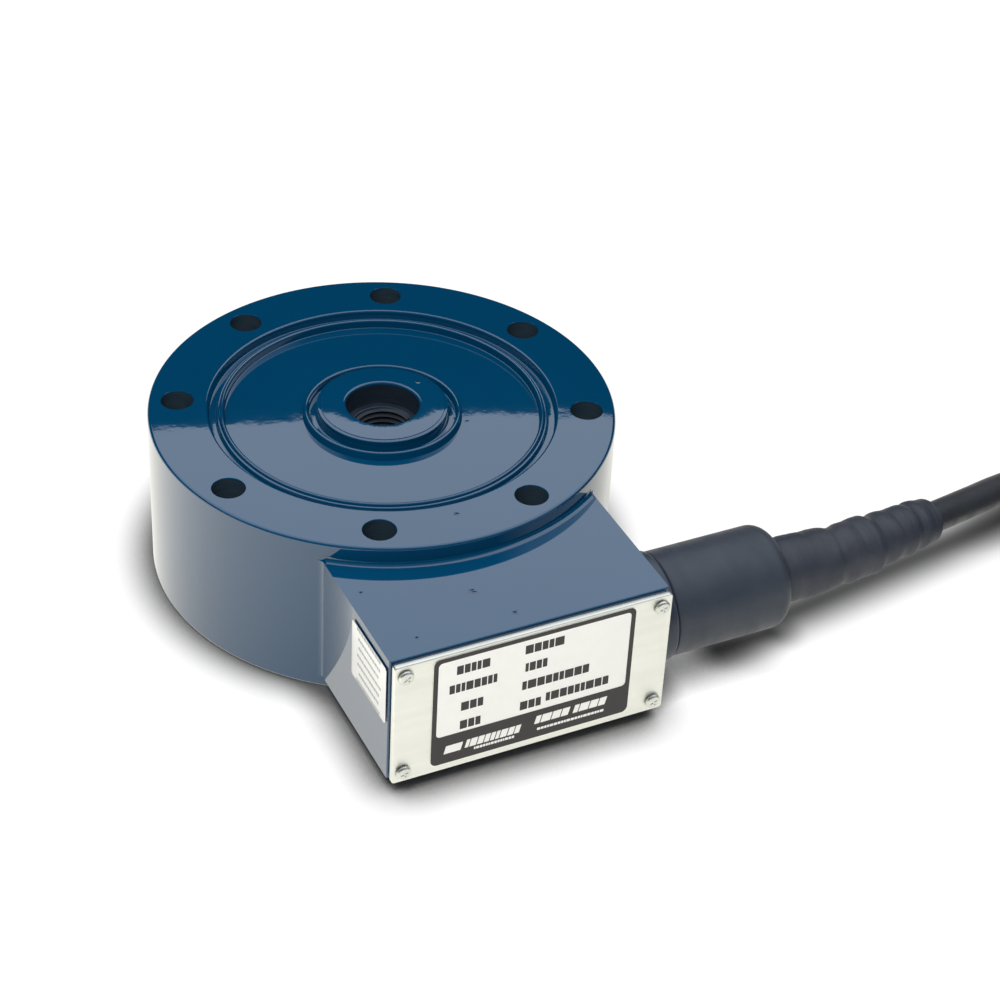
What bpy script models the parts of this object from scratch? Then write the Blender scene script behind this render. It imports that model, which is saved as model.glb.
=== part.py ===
"""Low-profile cylindrical load cell with a terminal box, cable gland and cable.

Units are metres. +Z is the load axis, pointing up. The origin is the centre of the base plane.
The terminal box stands towards -Y and the cable leaves it towards +X.
"""
import bpy
import bmesh
from math import atan2, cos, pi, radians, sin, sqrt, tan
from mathutils import Matrix, Vector

# Clearance between solids that seat on each other
seat_gap = 0.0003

# Turned body: rim, hub and shear webs. The terminal box isn't set quite midway between two
# bolt holes, so the ring of holes is turned a little from it.
body_diameter = 0.130
body_height = 0.0486
body_edge = 0.0009
bolt_edge_distance = 0.0081
bolt_count = 8
bolt_turn = radians(-1.7)
bolt_hole_diameter = 0.009
groove_width = 0.0036
groove_depth = 0.0019
groove_edge = 0.0005
groove_root = 0.0004
ridge_width = 0.0006
ridge_drop = 0.0002
diaphragm_seat_width = 0.0032
land_share = 0.2831
land_rise = 0.0007
hub_ledge_width = 0.0034
hub_ledge_drop = 0.001
hub_edge = 0.0006
hub_core_margin = 0.0019
counterbore_diameter = 0.0204
counterbore_depth = 0.007
counterbore_edge = 0.0004
thread_diameter = 0.0164
thread_depth = 0.028
web_thickness = 0.005
web_bottom = 0.010
web_headroom = 0.0059
pocket_inset = 0.001
passage_diameter = 0.006

# Diaphragm and bottom cover
diaphragm_drop = 0.0036
diaphragm_sheet = 0.0008
diaphragm_cove = 0.002
hub_cove = 0.0015
hub_seat_width = 0.0018
bottom_cover_thickness = 0.002
bottom_cover_recess = 0.0003
bottom_cover_edge = 0.0004
hub_lift = 0.0007

# Strain gauges and their wiring
gauge_side = 0.005
gauge_thickness = 0.0003
gauge_tilt = radians(45)
wiring_diameter = 0.0018
lead_diameter = 0.0024

# Terminal box
box_width = 0.0788
box_bottom = 0.0040
box_top_drop = 0.0055
box_reach = 0.0308
box_wall = 0.003
box_edge = 0.0005
box_top_cove = 0.0035
box_side_cove = 0.0025

# Front cover, its gasket, screws and label
cover_margin = 0.0004
cover_thickness = 0.0016
cover_corner_radius = 0.0008
gasket_thickness = 0.0004
gasket_margin = 0.0008
screw_inset_x = 0.0033
screw_inset_z = 0.0036
screw_shank_diameter = 0.0023
screw_shank_length = 0.008
screw_head_diameter = 0.0042
screw_head_height = 0.0009
screw_dome_share = 0.75
screw_clearance = 0.0006
screw_land_wall = 0.0007
label_thickness = 0.0002
rating_label_size = (0.057, 0.0345)
side_label_size = (0.0217, 0.018)
side_label_front_margin = 0.001
side_label_top_margin = 0.003
label_corner_radius = 0.0015

# Compensation board in the box
board_size = (0.044, 0.024)
board_thickness = 0.0016
board_offset = -0.004
board_setback = 0.0156
board_corner_radius = 0.001
board_hole_inset = 0.003
standoff_height = 0.0047
standoff_across_flats = 0.005
board_screw_diameter = 0.0025
board_screw_length = 0.0055
board_screw_head_diameter = 0.0046
board_screw_head_height = 0.0014
strip_size = (0.006, 0.012, 0.005)
strip_offset = (0.012, 0.0)
resistor_diameter = 0.0024
resistor_length = 0.0065
resistor_count = 4
resistor_pitch = 0.0042
resistor_offset = (-0.009, 0.0)

# Cable gland on the right wall of the box
gland_setback = 0.0157
boss_diameter = 0.0304
boss_length = 0.0052
stub_diameter = 0.016
stub_length = 0.0063
spigot_diameter = 0.022
spigot_length = 0.024
seal_pocket_diameter = 0.016
seal_pocket_depth = 0.018
seal_length = 0.0159
washer_thickness = 0.0012
locknut_across_flats = 0.019
locknut_thickness = 0.0045
gland_edge = 0.0006

# Rubber boot and stepped bend relief
boot_diameter = 0.0290
boot_length = 0.0360
boot_end_wall = 0.004
boot_end_radius = 0.0045
boot_edge = 0.0005
relief_flange_length = 0.004
relief_edge = 0.0004
relief_sleeves = (
    (0.0285, 0.0180, 0.0176),
    (0.0145, 0.0166, 0.0160),
    (0.0132, 0.0148, 0.0142),
    (0.0052, 0.0138, 0.0132),
)

# Cable, laid on the floor and coiled. Each point of its route gives the distance past the boot,
# the sideways distance from the gland's axis, and the share of the gland's height that is left.
cable_diameter = 0.009
lay_gap = 0.0001
cable_inner_reach = 0.0095
cable_point_spacing = 0.009
cable_route = (
    (0.0218, 0.0000, 1.000),
    (0.0398, 0.0024, 0.985),
    (0.0554, 0.0065, 0.875),
    (0.0757, 0.0134, 0.665),
    (0.0880, 0.0182, 0.511),
    (0.0988, 0.0222, 0.351),
    (0.1088, 0.0257, 0.200),
    (0.1178, 0.0285, 0.085),
    (0.1258, 0.0308, 0.020),
    (0.1338, 0.0329, 0.000),
)
coil_mid_diameter = 0.090
coil_turns_across = 3
coil_turns_high = 3
coil_corner_share = 0.8
tail_start = radians(305)
tail_end = radians(165)
core_diameter = 0.0016
core_pitch = 0.0022
core_length = 0.026
core_turn = radians(33)
core_fan = radians(5)
core_colours = {
    "red": (0.55, 0.03, 0.03),
    "black": (0.02, 0.02, 0.02),
    "green": (0.03, 0.30, 0.08),
    "white": (0.80, 0.80, 0.78),
}

# Facets
body_steps = 56
diaphragm_steps = 40
gland_steps = 20
boot_steps = 24
relief_steps = 16
coil_steps = 24
hole_sides = 12
small_sides = 8

# Places that follow from the sizes above
body_radius = body_diameter / 2
bolt_circle_diameter = body_diameter - 2 * bolt_edge_distance
groove_diameter = bolt_circle_diameter - 2 * bolt_edge_distance
ridge_diameter = groove_diameter - 2 * groove_width
cavity_diameter = ridge_diameter - 2 * diaphragm_seat_width
land_diameter = body_diameter * land_share
hub_diameter = land_diameter + 2 * hub_ledge_width
hub_core_diameter = hub_diameter + 2 * (hub_seat_width + hub_core_margin)
box_half = box_width / 2
box_front = body_radius + box_reach
box_height = body_height - box_top_drop - box_bottom
box_centre_z = box_bottom + box_height / 2
box_top = box_bottom + box_height
box_inner_half = box_half - box_wall
box_back_radius = body_radius + seat_gap
cover_back = -box_front - 2 * seat_gap - gasket_thickness
cover_face = cover_back - cover_thickness
diaphragm_top = body_height - diaphragm_drop
diaphragm_seat = diaphragm_top - diaphragm_sheet - seat_gap
web_top = diaphragm_seat - web_headroom
web_middle_radius = (hub_core_diameter + cavity_diameter) / 4
gland_y = -box_front + gland_setback
gland_z = box_centre_z
boss_start = box_half + seat_gap
spigot_start = boss_start + boss_length
spigot_end = spigot_start + spigot_length
boot_start = spigot_start + seat_gap
boot_end = boot_start + boot_length
relief_start = spigot_end + seat_gap
cable_bore = cable_diameter + 2 * seat_gap
cable_start = boss_start - stub_length - cable_inner_reach
cable_rest_z = cable_diameter / 2 + lay_gap
board_centre = (board_offset, -box_front + board_setback)
board_bottom = box_bottom + box_wall + standoff_height + 2 * seat_gap
board_top = board_bottom + board_thickness

model = bpy.data.collections.new("cylindrical_load_cell")
cutters = bpy.data.collections.new("cutters")


def clear_scene():
    for obj in list(bpy.data.objects):
        bpy.data.objects.remove(obj, do_unlink=True)
    bpy.context.scene.collection.children.link(model)
    bpy.context.scene.collection.children.link(cutters)


def finish(name, colour, roughness, metallic=0.0):
    """A plain surface finish, shared by every piece that names it."""
    if name in bpy.data.materials:
        return bpy.data.materials[name]
    material = bpy.data.materials.new(name)
    material.use_nodes = True
    shader = material.node_tree.nodes["Principled BSDF"]
    shader.inputs["Base Color"].default_value = (*colour, 1.0)
    shader.inputs["Roughness"].default_value = roughness
    shader.inputs["Metallic"].default_value = metallic
    return material


def enamel():
    return finish("blue_enamel", (0.004, 0.045, 0.115), 0.12)


def steel():
    return finish("plated_steel", (0.55, 0.55, 0.53), 0.30, 1.0)


def aluminium():
    return finish("satin_aluminium", (0.80, 0.81, 0.78), 0.35, 1.0)


def label_white():
    return finish("label_white", (0.88, 0.88, 0.86), 0.45)


def black_rubber():
    return finish("black_rubber", (0.045, 0.050, 0.060), 0.60)


def cable_sheath():
    return finish("cable_sheath", (0.040, 0.044, 0.052), 0.50)


def place(name, mesh, material, collection=model):
    """An object for a mesh, with its own finish. Cutters have none and aren't rendered."""
    obj = bpy.data.objects.new(name, mesh)
    collection.objects.link(obj)
    if material:
        mesh.materials.clear()
        mesh.materials.append(material)
    else:
        obj.hide_render = True
        obj.display_type = "WIRE"
    return obj


def shade(mesh):
    mesh.shade_smooth()
    mesh.set_sharp_from_angle(angle=radians(35))


def settled_mesh(obj):
    """The mesh that an object's modifiers or curve settings give, with its seams welded."""
    bpy.context.view_layer.update()
    graph = bpy.context.evaluated_depsgraph_get()
    mesh = bpy.data.meshes.new_from_object(obj.evaluated_get(graph))
    welded = bmesh.new()
    welded.from_mesh(mesh)
    bmesh.ops.remove_doubles(welded, verts=welded.verts, dist=0.000005)
    welded.to_mesh(mesh)
    welded.free()
    shade(mesh)
    return mesh


def settle(obj, material):
    """Replace a curve or a modified mesh object with a plain mesh object of the same name."""
    mesh = settled_mesh(obj)
    name, collection, matrix = obj.name, obj.users_collection[0], obj.matrix_world.copy()
    bpy.data.objects.remove(obj, do_unlink=True)
    mesh.name = name
    solid = place(name, mesh, material, collection)
    solid.name = name
    solid.matrix_world = matrix
    return solid


def corner_arc(before, corner, after, radius, segments):
    """Points along the arc that rounds one corner of an outline."""
    corner = Vector(corner)
    back = (Vector(before) - corner).normalized()
    ahead = (Vector(after) - corner).normalized()
    half = back.angle(ahead) / 2
    centre = corner + (back + ahead).normalized() * radius / sin(half)
    start = corner + back * radius / tan(half) - centre
    end = corner + ahead * radius / tan(half) - centre
    turn = start.angle_signed(end)
    first = atan2(start.y, start.x)
    angles = [first - turn * i / segments for i in range(segments + 1)]
    return [(centre.x + radius * cos(a), centre.y + radius * sin(a)) for a in angles]


def outline(corners, closed=True):
    """Points of an outline whose corners are (x, y), or (x, y, radius, arc segments)."""
    points = []
    last = len(corners) - 1
    for i, corner in enumerate(corners):
        if len(corner) == 2 or (not closed and i in (0, last)):
            points.append(corner[:2])
            continue
        before, after = corners[i - 1][:2], corners[(i + 1) % len(corners)][:2]
        points += corner_arc(before, corner[:2], after, corner[2], corner[3])
    return points


def turned(name, corners, steps, material, closed=True, collection=model):
    """A solid turned about Z. The outline is (radius, height) and runs down its outer side."""
    points = outline(corners, closed)
    edges = [(i, i + 1) for i in range(len(points) - 1)]
    if closed:
        edges.append((len(points) - 1, 0))
    profile = bpy.data.meshes.new(name)
    profile.from_pydata([(x, 0.0, z) for x, z in points], edges, [])
    obj = place(name, profile, material, collection)
    screw = obj.modifiers.new("turn", "SCREW")
    screw.steps = steps
    screw.render_steps = steps
    screw.use_merge_vertices = True
    screw.merge_threshold = 0.00001
    return settle(obj, material)


def flat(name, loops, thickness, material, collection=model):
    """A plate in the XY plane, centred on it. Inner loops are its holes."""
    curve = bpy.data.curves.new(name, "CURVE")
    curve.dimensions = "2D"
    curve.fill_mode = "BOTH"
    curve.extrude = thickness / 2
    for loop in loops:
        spline = curve.splines.new("POLY")
        spline.points.add(len(loop) - 1)
        for point, (x, y) in zip(spline.points, loop):
            point.co = (x, y, 0.0, 1.0)
        spline.use_cyclic_u = True
    obj = bpy.data.objects.new(name, curve)
    collection.objects.link(obj)
    return settle(obj, material)


def tube(name, points, diameter, material, resolution=2):
    """A round wire or cable along a list of points, with flat ends."""
    curve = bpy.data.curves.new(name, "CURVE")
    curve.dimensions = "3D"
    curve.bevel_depth = diameter / 2
    curve.bevel_resolution = resolution
    curve.use_fill_caps = True
    spline = curve.splines.new("POLY")
    spline.points.add(len(points) - 1)
    for point, place_at in zip(spline.points, points):
        point.co = (*place_at, 1.0)
    obj = bpy.data.objects.new(name, curve)
    model.objects.link(obj)
    return settle(obj, material)


def block(name, size, centre, material, collection=model):
    """A box of the given size about its centre."""
    mesh = bpy.data.meshes.new(name)
    shape = bmesh.new()
    bmesh.ops.create_cube(shape, size=1.0)
    bmesh.ops.scale(shape, vec=size, verts=shape.verts)
    shape.to_mesh(mesh)
    shape.free()
    obj = place(name, mesh, material, collection)
    obj.location = centre
    return obj


def drills(name, places, diameter, depth, sides=hole_sides):
    """One cutter of round rods, each given by the matrix of its middle and axis."""
    mesh = bpy.data.meshes.new(name)
    shape = bmesh.new()
    for matrix in places:
        bmesh.ops.create_cone(
            shape, cap_ends=True, segments=sides, radius1=diameter / 2,
            radius2=diameter / 2, depth=depth, matrix=matrix,
        )
    shape.to_mesh(mesh)
    shape.free()
    return place(name, mesh, None, cutters)


def combine(obj, other, operation):
    boolean = obj.modifiers.new(other.name, "BOOLEAN")
    boolean.operation = operation
    boolean.solver = "EXACT"
    boolean.object = other


def circle(radius, sides, centre=(0.0, 0.0), start=0.0):
    angles = [start + 2 * pi * i / sides for i in range(sides)]
    return [(centre[0] + radius * cos(a), centre[1] + radius * sin(a)) for a in angles]


def rounded_rectangle(width, height, radius, segments, centre=(0.0, 0.0)):
    x, y = width / 2, height / 2
    signs = ((-1, -1), (1, -1), (1, 1), (-1, 1))
    return outline([(centre[0] + i * x, centre[1] + j * y, radius, segments) for i, j in signs])


def along_x(x, y, z):
    """A place whose own Z runs along world X."""
    return Matrix.Translation((x, y, z)) @ Matrix.Rotation(pi / 2, 4, "Y")


def along_y(x, y, z):
    """A place whose own X and Y lie in the XZ plane and whose own Z runs along world -Y."""
    return Matrix.Translation((x, y, z)) @ Matrix.Rotation(pi / 2, 4, "X")


def load_cell_body():
    rim_inner = ridge_diameter / 2
    groove_outer = groove_diameter / 2
    ridge_top = body_height - ridge_drop
    land_top = body_height + land_rise
    ledge = body_height - hub_ledge_drop
    hub = hub_diameter / 2
    land = land_diameter / 2
    core = hub_core_diameter / 2
    cavity = cavity_diameter / 2
    counterbore = counterbore_diameter / 2
    thread = thread_diameter / 2
    counterbore_floor = land_top - counterbore_depth
    thread_floor = land_top - thread_depth
    cover_seat = bottom_cover_recess + bottom_cover_thickness + seat_gap
    ring = [
        (0.0, thread_floor),
        (thread, thread_floor),
        (thread, counterbore_floor),
        (counterbore, counterbore_floor),
        (counterbore, land_top, counterbore_edge, 1),
        (land, land_top, hub_edge, 1),
        (land, ledge),
        (hub, ledge, hub_edge, 1),
        (hub, diaphragm_top, hub_cove, 2),
        (hub + hub_seat_width, diaphragm_top),
        (hub + hub_seat_width, diaphragm_seat),
        (core, diaphragm_seat),
        (core, web_top),
        (cavity, web_top),
        (cavity, diaphragm_seat),
        (rim_inner, diaphragm_seat),
        (rim_inner, ridge_top),
        (rim_inner + ridge_width, ridge_top),
        (groove_outer - groove_root, body_height - groove_depth),
        (groove_outer, body_height - groove_depth + groove_root),
        (groove_outer, body_height, groove_edge, 1),
        (body_radius, body_height, body_edge, 2),
        (body_radius, 0.0, body_edge, 1),
        (rim_inner, 0.0),
        (rim_inner, cover_seat),
        (cavity, cover_seat),
        (cavity, web_bottom),
        (core, web_bottom),
        (core, cover_seat + hub_lift),
        (0.0, cover_seat + hub_lift),
    ]
    body = turned("cell_body", ring, body_steps, enamel(), closed=False)
    half_step = pi / bolt_count
    bolt_places = []
    for i in range(bolt_count):
        angle = half_step * (2 * i + 1) + bolt_turn
        radius = bolt_circle_diameter / 2
        bolt_places.append(
            Matrix.Translation((radius * cos(angle), radius * sin(angle), body_height / 2))
        )
    bolt_holes = drills("bolt_holes", bolt_places, bolt_hole_diameter, 2 * body_height)
    combine(body, bolt_holes, "DIFFERENCE")
    combine(body, web_pockets(), "DIFFERENCE")
    passage = Matrix.Translation((0.0, -(cavity + body_radius) / 2, gland_z))
    passage = passage @ Matrix.Rotation(pi / 2, 4, "X")
    depth = body_radius - cavity + 2 * box_wall
    combine(body, drills("lead_passage", [passage], passage_diameter, depth), "DIFFERENCE")
    return body


def web_pockets():
    """Cutter of the pockets between the radial shear webs."""
    inner = hub_core_diameter / 2 + pocket_inset
    outer = cavity_diameter / 2 - pocket_inset
    loops = []
    for i in range(bolt_count):
        middle = 2 * pi * i / bolt_count
        loop = []
        for radius, segments, direction in ((outer, 6, 1), (inner, 4, -1)):
            reach = pi / bolt_count - (web_thickness / 2) / radius
            for k in range(segments + 1):
                angle = middle + direction * reach * (2 * k / segments - 1)
                loop.append((radius * cos(angle), radius * sin(angle)))
        loops.append(loop)
    height = web_top - web_bottom + 2 * pocket_inset
    pockets = flat("web_pockets", loops, height, None, cutters)
    pockets.location.z = (web_top + web_bottom) / 2
    return pockets


def diaphragms():
    outer = ridge_diameter / 2 - seat_gap
    inner = hub_diameter / 2 + hub_seat_width + seat_gap
    under = diaphragm_top - diaphragm_sheet
    rim_top = body_height - ridge_drop
    flange = outer - diaphragm_sheet
    pan = [
        (inner, diaphragm_top),
        (flange, diaphragm_top, diaphragm_cove, 3),
        (flange, rim_top),
        (outer, rim_top),
        (outer, under, diaphragm_cove / 2, 1),
        (inner, under),
    ]
    turned("top_diaphragm", pan, diaphragm_steps, enamel())
    top = bottom_cover_recess + bottom_cover_thickness
    disc = [
        (0.0, top),
        (outer, top),
        (outer, bottom_cover_recess, bottom_cover_edge, 1),
        (0.0, bottom_cover_recess),
    ]
    turned("bottom_cover", disc, diaphragm_steps, enamel(), closed=False)


def gauges():
    """One foil gauge on the face of each shear web, and the ring of wire that joins them."""
    foil = finish("gauge_foil", (0.62, 0.36, 0.08), 0.40)
    offset = web_thickness / 2 + seat_gap + gauge_thickness / 2
    middle_z = (web_top + web_bottom) / 2
    gauge_size = (gauge_side, gauge_thickness, gauge_side)
    for i in range(bolt_count):
        gauge = block(f"strain_gauge_{i + 1}", gauge_size, (0, 0, 0), foil)
        web = Matrix.Rotation(pi * (2 * i + 1) / bolt_count, 4, "Z")
        on_face = Matrix.Translation((web_middle_radius, offset, middle_z))
        gauge.matrix_world = web @ on_face @ Matrix.Rotation(gauge_tilt, 4, "Y")
    copper = finish("enamelled_copper", (0.55, 0.22, 0.06), 0.35, 0.6)
    ring_z = web_top + seat_gap + wiring_diameter / 2
    section = circle(wiring_diameter / 2, 6)
    ring = [(web_middle_radius + x, ring_z - z) for x, z in section]
    turned("bridge_wiring", ring, boot_steps, copper)
    top = ring_z - wiring_diameter / 2 - seat_gap
    start_y = -web_middle_radius
    wall_y = -cavity_diameter / 2
    inner_step = (wall_y - start_y) / 4
    strip_y = board_centre[1] + strip_offset[1]
    strip_x = board_centre[0] + strip_offset[0]
    landing = board_top + strip_size[2] + 2 * seat_gap
    crest = max(gland_z, landing + lead_diameter)
    outer_step = (strip_y + body_radius) / 4
    leads = [
        (0.0, start_y, top),
        (0.0, start_y + inner_step / 8, (3 * top + gland_z) / 4),
        (0.0, start_y + inner_step, gland_z + lead_diameter),
        (0.0, start_y + 2 * inner_step, gland_z + lead_diameter / 3),
        (0.0, wall_y, gland_z),
        (0.0, -body_radius + outer_step / 2, gland_z),
        (strip_x / 3, -body_radius + 2 * outer_step, crest + lead_diameter),
        (strip_x * 0.8, strip_y - outer_step / 2, crest + 1.5 * lead_diameter),
        (strip_x, strip_y, crest),
        (strip_x, strip_y, landing),
    ]
    tube("bridge_leads", leads, lead_diameter, copper)


def terminal_box():
    back = box_back_radius
    cove = box_side_cove
    cove_x = box_half + cove
    cove_y = -sqrt((back + cove) ** 2 - cove_x**2)
    toward_axis = atan2(-cove_y, -cove_x)
    right_side = [
        (cove_x + cove * cos(a), cove_y + cove * sin(a))
        for a in (pi + (toward_axis - pi) * i / 4 for i in range(5))
    ]
    edge_angle = atan2(right_side[-1][1], right_side[-1][0])
    sweep = -pi / 2 - edge_angle
    arc = [edge_angle + 2 * sweep * i / 12 for i in range(1, 12)]
    back_arc = [(back * cos(a), back * sin(a)) for a in arc]
    left_side = [(-x, y) for x, y in reversed(right_side)]
    plan = [(-box_half, -box_front), (box_half, -box_front), *right_side, *back_arc, *left_side]
    box = flat("terminal_box", [plan], box_height, enamel())
    box.location.z = box_centre_z
    edges = box.modifiers.new("edges", "BEVEL")
    edges.width = box_edge
    edges.segments = 1
    edges.limit_method = "ANGLE"
    edges.angle_limit = radians(50)
    combine(box, top_cove(), "UNION")
    hollow_depth = box_front
    hollow = flat("box_hollow", [box_opening()], hollow_depth, None, cutters)
    hollow.matrix_world = along_y(0.0, -box_front + hollow_depth / 2 - box_wall, box_centre_z)
    combine(box, hollow, "DIFFERENCE")
    stub = stub_diameter + 2 * seat_gap
    entry = drills("gland_entry", [along_x(box_half, gland_y, gland_z)], stub, 4 * box_wall)
    combine(box, entry, "DIFFERENCE")
    taps = [along_y(x, -box_front, z) for x, z in screw_places()]
    depth = 2 * (screw_shank_length + screw_clearance)
    width = screw_shank_diameter + screw_clearance
    combine(box, drills("cover_screw_holes", taps, width, depth, small_sides), "DIFFERENCE")
    return box


def box_opening():
    """Outline of the box's hollow, seen from the front, with a land left round each cover screw."""
    hole = (screw_shank_diameter + screw_clearance) / 2
    x, z = box_inner_half, box_height / 2 - box_wall
    inner_x = x + box_wall - screw_inset_x - hole - screw_land_wall
    inner_z = z + box_wall - screw_inset_z - hole - screw_land_wall
    quarter = [(x, inner_z), (inner_x, inner_z), (inner_x, z)]
    upper = quarter + [(-i, j) for i, j in reversed(quarter)]
    return upper + [(i, -j) for i, j in reversed(upper)]


def top_cove():
    """Painted fillet where the box top meets the body: a turned ring, kept over the box only."""
    inner = box_back_radius + seat_gap
    outer = inner + box_top_cove
    sunk = box_top - box_wall / 2
    steps = 4
    hollow = [
        (
            outer - box_top_cove * sin(pi / 2 * i / steps),
            box_top + box_top_cove * (1 - cos(pi / 2 * i / steps)),
        )
        for i in range(steps, -1, -1)
    ]
    section = [*hollow, (outer, sunk), (inner, sunk)]
    ring = turned("box_top_cove", section, body_steps, None, collection=cutters)
    span = (2 * (box_half - box_edge), box_front, box_height)
    keep = block("cove_span", span, (0, -box_front / 2, box_top), None, cutters)
    combine(ring, keep, "INTERSECT")
    return ring


def screw_places():
    """Centres of the four cover screws, as world X and Z."""
    x = box_half - screw_inset_x
    z = box_height / 2 - screw_inset_z
    return [(i * x, box_centre_z + j * z) for i, j in ((-1, 1), (1, 1), (1, -1), (-1, -1))]


def front_cover():
    holes = [(x, z - box_centre_z) for x, z in screw_places()]
    hole = (screw_shank_diameter + screw_clearance) / 2
    width, height = box_width - 2 * cover_margin, box_height - 2 * cover_margin
    loops = [rounded_rectangle(width, height, cover_corner_radius, 2)]
    loops += [circle(hole, small_sides, centre) for centre in holes]
    cover = flat("front_cover", loops, cover_thickness, aluminium())
    cover.matrix_world = along_y(0.0, cover_back - cover_thickness / 2, box_centre_z)
    trim = 2 * gasket_margin
    loops[0] = rounded_rectangle(box_width - trim, box_height - trim, cover_corner_radius, 2)
    gasket = flat("cover_gasket", [*loops, box_opening()], gasket_thickness, black_rubber())
    gasket.matrix_world = along_y(0.0, -box_front - seat_gap - gasket_thickness / 2, box_centre_z)


def pan_screw(name, shank, length, head, height, matrix, material, dome=2):
    """A screw with a domed head. Its own Z points out of the head, from the seat under it."""
    corners = [
        (0.0, height),
        (head / 2, height, height * screw_dome_share, dome),
        (head / 2, 0.0),
        (shank / 2, 0.0),
        (shank / 2, -length),
        (0.0, -length),
    ]
    screw = turned(name, corners, small_sides + 2, material, closed=False)
    screw.matrix_world = matrix
    return screw


def cover_screws():
    for i, (x, z) in enumerate(screw_places()):
        seat = along_y(x, cover_face - seat_gap, z)
        pan_screw(
            f"cover_screw_{i + 1}", screw_shank_diameter, screw_shank_length,
            screw_head_diameter, screw_head_height, seat, steel(),
        )


def labels():
    face = rounded_rectangle(*rating_label_size, label_corner_radius, 3)
    rating = flat("rating_label", [face], label_thickness, label_white())
    rating.matrix_world = along_y(0.0, cover_face - seat_gap - label_thickness / 2, box_centre_z)
    face = rounded_rectangle(side_label_size[1], side_label_size[0], label_corner_radius / 3, 1)
    side = flat("side_label", [face], label_thickness, label_white())
    middle_y = -box_front + side_label_front_margin + side_label_size[0] / 2
    middle_z = box_top - side_label_top_margin - side_label_size[1] / 2
    side.matrix_world = along_x(-box_half - seat_gap - label_thickness / 2, middle_y, middle_z)


def compensation_board():
    half_x = board_size[0] / 2 - board_hole_inset
    half_y = board_size[1] / 2 - board_hole_inset
    corners = [(i * half_x, j * half_y) for i, j in ((-1, -1), (1, -1), (1, 1), (-1, 1))]
    clear = board_screw_diameter / 2 + seat_gap
    loops = [rounded_rectangle(*board_size, board_corner_radius, 1)]
    loops += [circle(clear, small_sides, centre) for centre in corners]
    laminate = finish("green_laminate", (0.02, 0.16, 0.06), 0.45)
    board = flat("compensation_board", loops, board_thickness, laminate)
    board.location = (*board_centre, board_bottom + board_thickness / 2)
    brass = finish("brass", (0.70, 0.50, 0.20), 0.30, 1.0)
    hexagon = circle(standoff_across_flats / sqrt(3), 6)
    for i, (x, y) in enumerate(corners):
        x, y = x + board_centre[0], y + board_centre[1]
        loops = [hexagon, circle(clear, small_sides)]
        standoff = flat(f"board_standoff_{i + 1}", loops, standoff_height, brass)
        standoff.location = (x, y, box_bottom + box_wall + seat_gap + standoff_height / 2)
        seat = Matrix.Translation((x, y, board_top + seat_gap))
        pan_screw(
            f"board_screw_{i + 1}", board_screw_diameter, board_screw_length,
            board_screw_head_diameter, board_screw_head_height, seat, steel(), 1,
        )
    black = finish("terminal_black", (0.03, 0.03, 0.03), 0.45)
    block("terminal_strip", strip_size, (
        board_centre[0] + strip_offset[0],
        board_centre[1] + strip_offset[1],
        board_top + seat_gap + strip_size[2] / 2,
    ), black)
    film = finish("resistor_body", (0.10, 0.28, 0.42), 0.40)
    radius = resistor_diameter / 2
    for i in range(resistor_count):
        waist = [
            (0.0, resistor_length / 2),
            (radius, resistor_length / 2, radius / 3, 1),
            (radius, -resistor_length / 2, radius / 3, 1),
            (0.0, -resistor_length / 2),
        ]
        resistor = turned(f"trim_resistor_{i + 1}", waist, small_sides, film, closed=False)
        x = board_centre[0] + resistor_offset[0]
        y = board_centre[1] + resistor_offset[1] + resistor_pitch * (i - (resistor_count - 1) / 2)
        resistor.matrix_world = along_x(x, y, board_top + seat_gap + radius)


def gland():
    bore = cable_bore / 2
    pocket = seal_pocket_diameter / 2
    stub_end = boss_start - stub_length
    seal_floor = spigot_end - seal_pocket_depth
    profile = [
        (pocket, spigot_end),
        (spigot_diameter / 2, spigot_end, gland_edge, 1),
        (spigot_diameter / 2, spigot_start),
        (boss_diameter / 2, spigot_start, gland_edge, 1),
        (boss_diameter / 2, boss_start),
        (stub_diameter / 2, boss_start),
        (stub_diameter / 2, stub_end, gland_edge, 1),
        (bore, stub_end),
        (bore, seal_floor),
        (pocket, seal_floor),
    ]
    body = turned("gland_body", profile, gland_steps, enamel())
    body.matrix_world = along_x(0.0, gland_y, gland_z)
    brass = finish("brass", (0.70, 0.50, 0.20), 0.30, 1.0)
    hexagon = circle(locknut_across_flats / sqrt(3), 6)
    hole = circle(stub_diameter / 2 + seat_gap, gland_steps)
    nut = flat("gland_locknut", [hexagon, hole], locknut_thickness, brass)
    nut.matrix_world = along_x(box_inner_half - seat_gap - locknut_thickness / 2, gland_y, gland_z)
    nut.matrix_world = nut.matrix_world @ Matrix.Rotation(pi / 6, 4, "Z")
    outer = pocket - seat_gap
    seal_start = seal_floor + seat_gap
    sleeve_ring("gland_seal", outer, bore, seal_start, seal_length, black_rubber())
    washer_start = seal_start + seal_length + seat_gap
    sleeve_ring("gland_washer", outer, bore, washer_start, washer_thickness, steel())


def sleeve_ring(name, outer, inner, start, length, material):
    """A plain ring on the gland's axis."""
    end = start + length
    corners = [(inner, end), (outer, end), (outer, start), (inner, start)]
    ring = turned(name, corners, gland_steps, material)
    ring.matrix_world = along_x(0.0, gland_y, gland_z)
    return ring


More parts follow.
